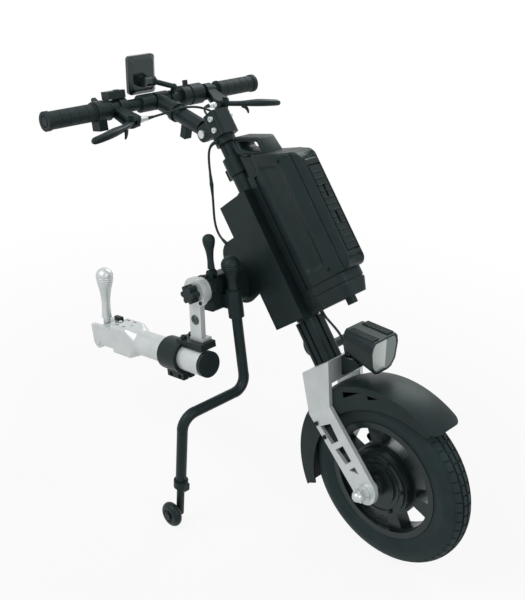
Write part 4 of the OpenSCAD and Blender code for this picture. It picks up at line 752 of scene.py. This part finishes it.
def filleted(corners, step):
    """An open outline with a round at each inner corner, in short steps."""
    line = [Vector(corners[0][:2])]
    for before, at, after in zip(corners, corners[1:], corners[2:]):
        p, a, b = Vector(at[:2]), Vector(before[:2]), Vector(after[:2])
        back, ahead = (a - p).normalized(), (b - p).normalized()
        half = back.angle(ahead) / 2
        reach = at[2] / math.tan(half)
        start, end = p + back * reach, p + ahead * reach
        for k in range(FILLET_STEPS + 1):
            s = k / FILLET_STEPS
            line.append((1 - s) ** 2 * start + 2 * s * (1 - s) * p + s ** 2 * end)
    line.append(Vector(corners[-1][:2]))
    fine = [line[0]]
    for p, q in zip(line, line[1:]):
        count = max(1, math.ceil((q - p).length / step))
        fine.extend(p + (q - p) * (k + 1) / count for k in range(count))
    return fine


def case_half():
    """Half of the case's section, from the middle of its back to the middle of its front."""
    depth = CASE_FRONT - CASE_BACK
    corners = [(CASE_BACK, 0.0, 0.0)]
    corners += [(CASE_BACK + n * depth, y * CASE_HALF, r) for n, y, r in CASE_CORNERS]
    corners.append((CASE_FRONT, 0.0, 0.0))
    line = filleted(corners, CASE_STEP)
    walls = [Vector((CASE_FRONT, POCKET_HALF)), Vector((CASE_FRONT, POCKET_HALF - WALL_GAP))]
    front = [p for p in line if CASE_FRONT - p.x < WALL_GAP]
    rest = [p for p in line if CASE_FRONT - p.x >= WALL_GAP]
    return rest + sorted(front + walls, key=lambda p: -p.y)


def corner_drop(n, round_r):
    """How far a round at the front takes an end of the case in, at a distance in front of the column."""
    into = min(max(n - CASE_FRONT + round_r, 0.0), round_r)
    return round_r - math.sqrt(round_r ** 2 - into ** 2)


def case_ends(n):
    """Lowest and highest place of the case at a distance in front of the column."""
    high = CASE_HIGH - CASE_SLOPE * (n - CASE_BACK) / (CASE_FRONT - CASE_BACK)
    return CASE_LOW + corner_drop(n, FOOT_ROUND), high - corner_drop(n, TOP_ROUND)


def case_rows():
    """Levels of the case: each one's zone, under, beside or over the pocket, and its share of the zone."""
    wall_share = WALL_GAP / (POCKET_HIGH - POCKET_LOW)
    rows = [(0, (k / LOW_ROWS) ** 2) for k in range(LOW_ROWS)]
    rows += [(1, 0.0), (1, wall_share)]
    rows += [(1, k / POCKET_ROWS) for k in range(1, POCKET_ROWS)]
    rows += [(1, 1.0 - wall_share), (1, 1.0)]
    rows += [(2, 1.0 - (1.0 - k / HIGH_ROWS) ** 2) for k in range(1, HIGH_ROWS + 1)]
    return rows


def panel_depth(n, t, high):
    """Depth of the side panel at a place, with sloped walls and rounded corners."""
    a = min(n - PANEL_FROM, PANEL_TO - n)
    b = min(t - CASE_LOW - PANEL_EDGE, high - PANEL_EDGE - t)
    inside = min(a, b)
    if a < PANEL_ROUND and b < PANEL_ROUND:
        inside = PANEL_ROUND - math.hypot(PANEL_ROUND - a, PANEL_ROUND - b)
    return PANEL_DEPTH * min(max(inside / PANEL_SLOPE, 0.0), 1.0)


def case_sunk(p, t, low, high):
    """How far the shell lies inside its plain section: at the ends, the seam, the panel and the pocket."""
    end = max(EDGE_ROUND - (t - low), EDGE_ROUND - (high - t), 0.0)
    sunk = EDGE_ROUND - math.sqrt(max(EDGE_ROUND ** 2 - end ** 2, 0.0))
    seam = (p - Vector(SEAM_AT)).length / SEAM_HALF
    sunk += SEAM_DEPTH * max(0.0, 1.0 - seam ** SEAM_POWER)
    if PANEL_FROM < p.x < PANEL_TO:
        sunk += panel_depth(p.x, t, high)
    in_pocket = POCKET_LOW < t < POCKET_HIGH and abs(p.y) < POCKET_HALF - WALL_GAP / 2
    if in_pocket and CASE_FRONT - p.x < WALL_GAP:
        sunk += POCKET_DEPTH
    return sunk


def face_out(piece, merge_gap=0.0):
    """Turns all faces of a closed piece outwards, after joining points closer than a gap."""
    build = bmesh.new()
    build.from_mesh(piece.data)
    if merge_gap > 0.0:
        bmesh.ops.remove_doubles(build, verts=build.verts, dist=merge_gap)
    bmesh.ops.recalc_face_normals(build, faces=build.faces)
    build.to_mesh(piece.data)
    build.free()


def make_case():
    half = case_half()
    ahead = [heading(half, i) for i in range(len(half))]
    inward = [Vector((d.y, -d.x)) for d in ahead]
    rows = case_rows()
    points, faces = [], []
    for zone, share in rows:
        for side in (1.0, -1.0):
            for p, turn in zip(half, inward):
                low, high = case_ends(p.x)
                knots = (low, POCKET_LOW, POCKET_HIGH, high)
                t = knots[zone] + share * (knots[zone + 1] - knots[zone])
                at = p + turn * case_sunk(p, t, low, high)
                points.append(COLUMN @ Vector((at.x, side * max(at.y, 0.0), t)))
    count = len(half)
    ring = list(range(count)) + list(range(2 * count - 1, count - 1, -1))
    for i in range(len(rows) - 1):
        base = 2 * count * i
        for a, b in zip(ring, ring[1:] + ring[:1]):
            faces.append((base + a, base + b, base + 2 * count + b, base + 2 * count + a))
    for i in (0, len(rows) - 1):
        base = 2 * count * i
        for k in range(count - 1):
            faces.append((base + k, base + k + 1, base + count + k + 1, base + count + k))
    case = mesh_piece("battery_shell", points, faces, "plastic_black")
    face_out(case, MERGE_GAP)
    case.data.set_sharp_from_angle(angle=CASE_SHARP)
    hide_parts("battery_case")
    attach(case, "battery")


# Carry handle: its outline and its finger gap, in shares of its size
HANDLE_AT = (0.034, 0.565)
HANDLE_SIZE = (0.070, 0.066)
HANDLE_HALF = 0.020
HANDLE_OUTER_SHARES = ((0.0, 0.53), (0.0, 0.86), (0.14, 1.0), (0.91, 0.58), (1.0, 0.05), (0.46, 0.29))
HANDLE_INNER_SHARES = ((0.19, 0.62), (0.19, 0.84), (0.8, 0.5), (0.8, 0.24), (0.43, 0.44))
HANDLE_ROUND = 0.0042
ROUND_SEGMENTS = 4


def column_prism(name, loops, half, rounding):
    """An outline in the column's plane, with any hole in it, made thick to both sides."""
    loops = [[Vector((n, 0.0, t)) for n, t in loop] for loop in loops]
    flat = [p for loop in loops for p in loop]
    count = len(flat)
    points = [COLUMN @ Vector((p.x, side * half, p.z)) for side in (-1.0, 1.0) for p in flat]
    faces = []
    for triangle in tessellate_polygon(loops):
        faces.append(tuple(triangle))
        faces.append(tuple(count + k for k in reversed(triangle)))
    start = 0
    for loop in loops:
        for k in range(len(loop)):
            n = (k + 1) % len(loop)
            faces.append((start + k, start + n, count + start + n, count + start + k))
        start += len(loop)
    piece = mesh_piece(name, points, faces, "plastic_black")
    face_out(piece)
    soft = piece.modifiers.new("round", "BEVEL")
    soft.width = rounding
    soft.segments = ROUND_SEGMENTS
    soft.limit_method = "ANGLE"
    return piece


def make_carry_handle():
    loops = [[(HANDLE_AT[0] + n * HANDLE_SIZE[0], HANDLE_AT[1] + t * HANDLE_SIZE[1]) for n, t in shares]
             for shares in (HANDLE_OUTER_SHARES, HANDLE_INNER_SHARES)]
    handle = column_prism("battery_handle", loops, HANDLE_HALF, HANDLE_ROUND)
    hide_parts("battery_case")
    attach(handle, "battery")


# The upper end of the dock's rail, which fills the space between the collar and the battery
RAIL_HEAD = ((0.0290, 0.552), (0.0650, 0.552), (0.0650, 0.5830), (0.0330, 0.5985), (0.0290, 0.5985))
RAIL_HEAD_HALF = 0.0128
RAIL_HEAD_ROUND = 0.0016


def make_rail_head():
    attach(column_prism("rail_head", (RAIL_HEAD,), RAIL_HEAD_HALF, RAIL_HEAD_ROUND), "frame")


make_case()
make_carry_handle()
make_rail_head()


# Brake levers: curved blades of oval section, each with a small finger tab
BAR_AT = (-0.508, 0.0, 0.634)
LEVER_DROP = 19.5
LEVER_PIVOT = (0.065, 0.112)
BLADE_LEN = 0.104
BLADE_SHARES = ((-0.05, -0.07, 0.0), (0.0, 0.0, 0.0), (0.18, 0.25, 0.025), (0.31, 0.55, 0.040),
                (0.38, 0.80, 0.028), (0.395, 1.0, 0.004), (0.393, 1.05, -0.004))
BLADE_WIDE = (0.0050, 0.0072, 0.0062, 0.0078, 0.0070, 0.0062, 0.0040)
BLADE_THICK = (0.0030, 0.0039, 0.0046, 0.0064, 0.0062, 0.0054, 0.0030)
BLADE_STEPS = 6
BLADE_SIDES = 20
BLADE_POWER = 0.7
TAB_PATH = ((0.022, 0.026, 0.0), (0.028, 0.030, -0.002), (0.032, 0.033, -0.007), (0.033, 0.035, -0.013))
TAB_RADII = (0.0042, 0.0036, 0.0028, 0.0016)
TAB_STEPS = 5
TAB_SIDES = 12


def fuller(value):
    """A sine or cosine brought nearer to 1, so that a round section gets fuller corners."""
    return math.copysign(abs(value) ** BLADE_POWER, value)


def blade(name, bar, sign):
    """A lever's blade, from its pivot out along the bar."""
    path = [(LEVER_PIVOT[0] + x * BLADE_LEN, sign * (LEVER_PIVOT[1] + y * BLADE_LEN), z * BLADE_LEN)
            for x, y, z in BLADE_SHARES]
    line = smooth_route(path, BLADE_STEPS)
    sizes = smooth_route([(w, t, 0.0) for w, t in zip(BLADE_WIDE, BLADE_THICK)], BLADE_STEPS)
    points = []
    for i, at in enumerate(line):
        ahead = heading(line, i)
        side = Vector((ahead.y, -ahead.x, 0.0))
        for k in range(BLADE_SIDES):
            turn = 2 * math.pi * k / BLADE_SIDES
            wide = sizes[i].x * fuller(math.cos(turn))
            thick = sizes[i].y * fuller(math.sin(turn))
            points.append(bar @ (at + wide * side + Vector((0.0, 0.0, thick))))
    piece = mesh_piece(name, points, ring_faces(len(line), BLADE_SIDES), "frame_black")
    face_out(piece)
    return piece


def make_levers():
    """Each lever's blade, with the small finger tab in front of its root."""
    bar = standing(BAR_AT, LEVER_DROP)
    for side, sign in SIDES:
        lever = blade("lever_blade_" + side, bar, sign)
        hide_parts("lever_" + side)
        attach(lever, "lever_" + side)
        path = [(LEVER_PIVOT[0] + x, sign * (LEVER_PIVOT[1] + y), z) for x, y, z in TAB_PATH]
        line = [bar @ p for p in smooth_route(path, TAB_STEPS)]
        radii = [p.x for p in smooth_route([(r, 0.0, 0.0) for r in TAB_RADII], TAB_STEPS)]
        points, faces = tube_shell(line, radii, TAB_SIDES)
        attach(mesh_piece("lever_tab_" + side, points, faces, "plastic_black"), "lever_" + side)


make_levers()


# Fasteners of the docking arm: a bolt's size is its head's radius and height and its key hole's radius
FACING_RIGHT = Matrix.Rotation(math.radians(90.0), 4, "X")
HEAD_EDGE = 0.0005
KEY_FLOOR_SHARE = 0.4
BOLT_SIDES = 24
FOOT_TOP = 0.2350
PLATE_Y = -0.1440
BUSHING_AT = (-0.2956, PLATE_Y, 0.27685)
BUSHING_PROFILE = ((0.0090, 0.0), (0.0090, 0.0014), (0.0082, 0.0022), (0.0060, 0.0022), (0.0052, 0.0014),
                   (0.0040, 0.0014), (0.0034, 0.0004), (TIP_R, 0.0004))
COLLAR_BOLT = (0.0055, 0.0060, 0.0026)
COLLAR_BOLTS = ((-0.3325, -0.1470, FOOT_TOP), (-0.3325, -0.1290, FOOT_TOP))
PLATE_SCREW = (0.0034, 0.0022, 0.0016)
PLATE_SCREWS = ((-0.3080, PLATE_Y, 0.3180), (-0.2740, PLATE_Y, 0.3110))


def socket_bolt(name, place, size, finish, body):
    """A round bolt head with a key hole."""
    r, h, key_r = size
    key_floor = h * KEY_FLOOR_SHARE
    profile = ((r, 0.0), (r, h - HEAD_EDGE), (r - HEAD_EDGE, h), (key_r, h), (key_r, key_floor),
               (TIP_R, key_floor))
    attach(revolve(name, profile, place, finish, BOLT_SIDES), body)


def make_docking_details():
    bushing = revolve("plate_bushing", BUSHING_PROFILE, standing(BUSHING_AT) @ FACING_RIGHT, "gloss_black")
    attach(bushing, "swing")
    for i, at in enumerate(COLLAR_BOLTS):
        socket_bolt("collar_bolt_%d" % (i + 1), standing(at), COLLAR_BOLT, "frame_black", "swing")
    for i, at in enumerate(PLATE_SCREWS):
        place = standing(at) @ FACING_RIGHT
        socket_bolt("plate_screw_%d" % (i + 1), place, PLATE_SCREW, "frame_black", "swing")


# Details on the clamp head, with the face up: thin dark plates of painted shade where its slots are, each
# slot's middle, width and length
FACING_UP = Matrix.Rotation(math.radians(-90.0), 4, "Y")
CLAMP_TOP = 0.228
CHEEK_TOP = 0.218
CLAMP_SLOT_SHADES = ((-0.5260, -0.1325, 0.0024, 0.0110), (-0.5040, -0.1325, 0.0024, 0.0090),
               (-0.5260, -0.1595, 0.0024, 0.0110), (-0.5040, -0.1595, 0.0024, 0.0090))
SLOT_ROUND_SHARE = 0.45
SLOT_T = 0.0004
SLOT_BEVEL = 0.0001
CLAMP_SCREW = (0.0032, 0.0018, 0.0015)
CLAMP_SCREWS = ((-0.4950, -0.1460), (-0.5330, -0.1460))
STOP_AT = (-0.5680, -0.1265, CHEEK_TOP)
STOP_SIZE = (0.0084, 0.0230)
STOP_ROUND = 0.0016
STOP_T = 0.0085
STOP_BEVEL = 0.0008


def make_clamp_details():
    # Thin gloss black plates on the face where the slots are: painted shade in place of the slots' hollows
    for i, (x, y, wide, long) in enumerate(CLAMP_SLOT_SHADES):
        place = standing((x, y, CLAMP_TOP)) @ FACING_UP
        rounded_plate("painted_slot_shade_%d" % (i + 1), place, (wide, long), wide * SLOT_ROUND_SHARE, SLOT_T,
                      "gloss_black", "dock_tube", SLOT_BEVEL)
    for i, (x, y) in enumerate(CLAMP_SCREWS):
        place = standing((x, y, CLAMP_TOP))
        socket_bolt("clamp_screw_%d" % (i + 1), place, CLAMP_SCREW, "steel", "dock_tube")
    rounded_plate("clamp_stop", standing(STOP_AT) @ FACING_UP, STOP_SIZE, STOP_ROUND, STOP_T,
                  "plastic_black", "dock_tube", STOP_BEVEL)


make_docking_details()
make_clamp_details()


# Floor and background: the floor's glow near the part and far from it, and the two radii between
PLAIN_WHITE = (*WHITE, 1.0)
FLOOR_SIDE = 40.0
FLOOR_DROP = 0.0008
FLOOR_SHADE = (0.60, 0.61, 0.61)
FLOOR_ROUGH = 0.9
FLOOR_SPECULAR = 0.1
FLOOR_GLOW = (0.90, 1.0, 0.5, 1.3)
WORLD_LEVEL = 0.30

# Lights: their places, widths and watts, all aimed at the middle of the part
MIDDLE = (0.0, 0.0, 0.38)
LIGHTS = (("key_light", (-0.6, -1.7, 2.3), 1.5, 34.0),
          ("front_light", (2.1, -0.1, 1.7), 1.1, 16.0),
          ("rim_light", (-0.7, 1.8, 1.9), 1.4, 22.0))


def seen_rays(tree):
    """1 for the rays that show the background: to the camera, in a reflection or through glass."""
    rays = node_of(tree, "ShaderNodeLightPath")
    value = rays.outputs["Is Camera Ray"]
    for kind in ("Is Glossy Ray", "Is Transmission Ray"):
        value = joined(tree, "MAXIMUM", value, rays.outputs[kind])
    return value


def floor_material():
    """A pale floor that keeps the part's shadow, and is plain white farther out."""
    material, tree, shader = new_material("pale_floor")
    shader.inputs["Base Color"].default_value = (*FLOOR_SHADE, 1.0)
    shader.inputs["Roughness"].default_value = FLOOR_ROUGH
    shader.inputs["Specular IOR Level"].default_value = FLOOR_SPECULAR
    glow = node_of(tree, "ShaderNodeEmission")
    glow.inputs["Color"].default_value = PLAIN_WHITE
    glow.inputs["Strength"].default_value = 1.0
    where = node_of(tree, "ShaderNodeTexCoord")
    reach = node_of(tree, "ShaderNodeVectorMath", operation="LENGTH")
    tree.links.new(where.outputs["Object"], reach.inputs[0])
    glow_level = ranged(tree, reach.outputs["Value"], *FLOOR_GLOW)
    share = joined(tree, "MULTIPLY", seen_rays(tree), glow_level)
    surface = shaders_mixed(tree, share, shader.outputs["BSDF"], glow.outputs["Emission"])
    tree.links.new(surface, tree.nodes["Material Output"].inputs["Surface"])
    return material


def make_floor():
    half = FLOOR_SIDE / 2
    corners = [(-half, -half, 0.0), (half, -half, 0.0), (half, half, 0.0), (-half, half, 0.0)]
    mesh = bpy.data.meshes.new("floor")
    mesh.from_pydata(corners, [], [(0, 1, 2, 3)])
    mesh.materials.append(floor_material())
    floor = bpy.data.objects.new("floor", mesh)
    floor.location.z = -FLOOR_DROP
    scene.collection.objects.link(floor)


def make_world():
    world = bpy.data.worlds.new("studio")
    scene.world = world
    world.use_nodes = True
    tree = world.node_tree
    tree.nodes.clear()
    out = node_of(tree, "ShaderNodeOutputWorld")
    plain = node_of(tree, "ShaderNodeBackground")
    plain.inputs["Color"].default_value = PLAIN_WHITE
    plain.inputs["Strength"].default_value = WORLD_LEVEL
    white = node_of(tree, "ShaderNodeBackground")
    white.inputs["Color"].default_value = PLAIN_WHITE
    sky = shaders_mixed(tree, seen_rays(tree), plain.outputs["Background"], white.outputs["Background"])
    tree.links.new(sky, out.inputs["Surface"])


def soft_light(name, at, size, watts):
    data = bpy.data.lights.new(name, "AREA")
    data.shape = "DISK"
    data.size = size
    data.energy = watts
    light = bpy.data.objects.new(name, data)
    light.location = at
    light.rotation_mode = "QUATERNION"
    light.rotation_quaternion = (Vector(MIDDLE) - Vector(at)).to_track_quat("-Z", "Y")
    scene.collection.objects.link(light)


make_floor()
make_world()
for row in LIGHTS:
    soft_light(*row)
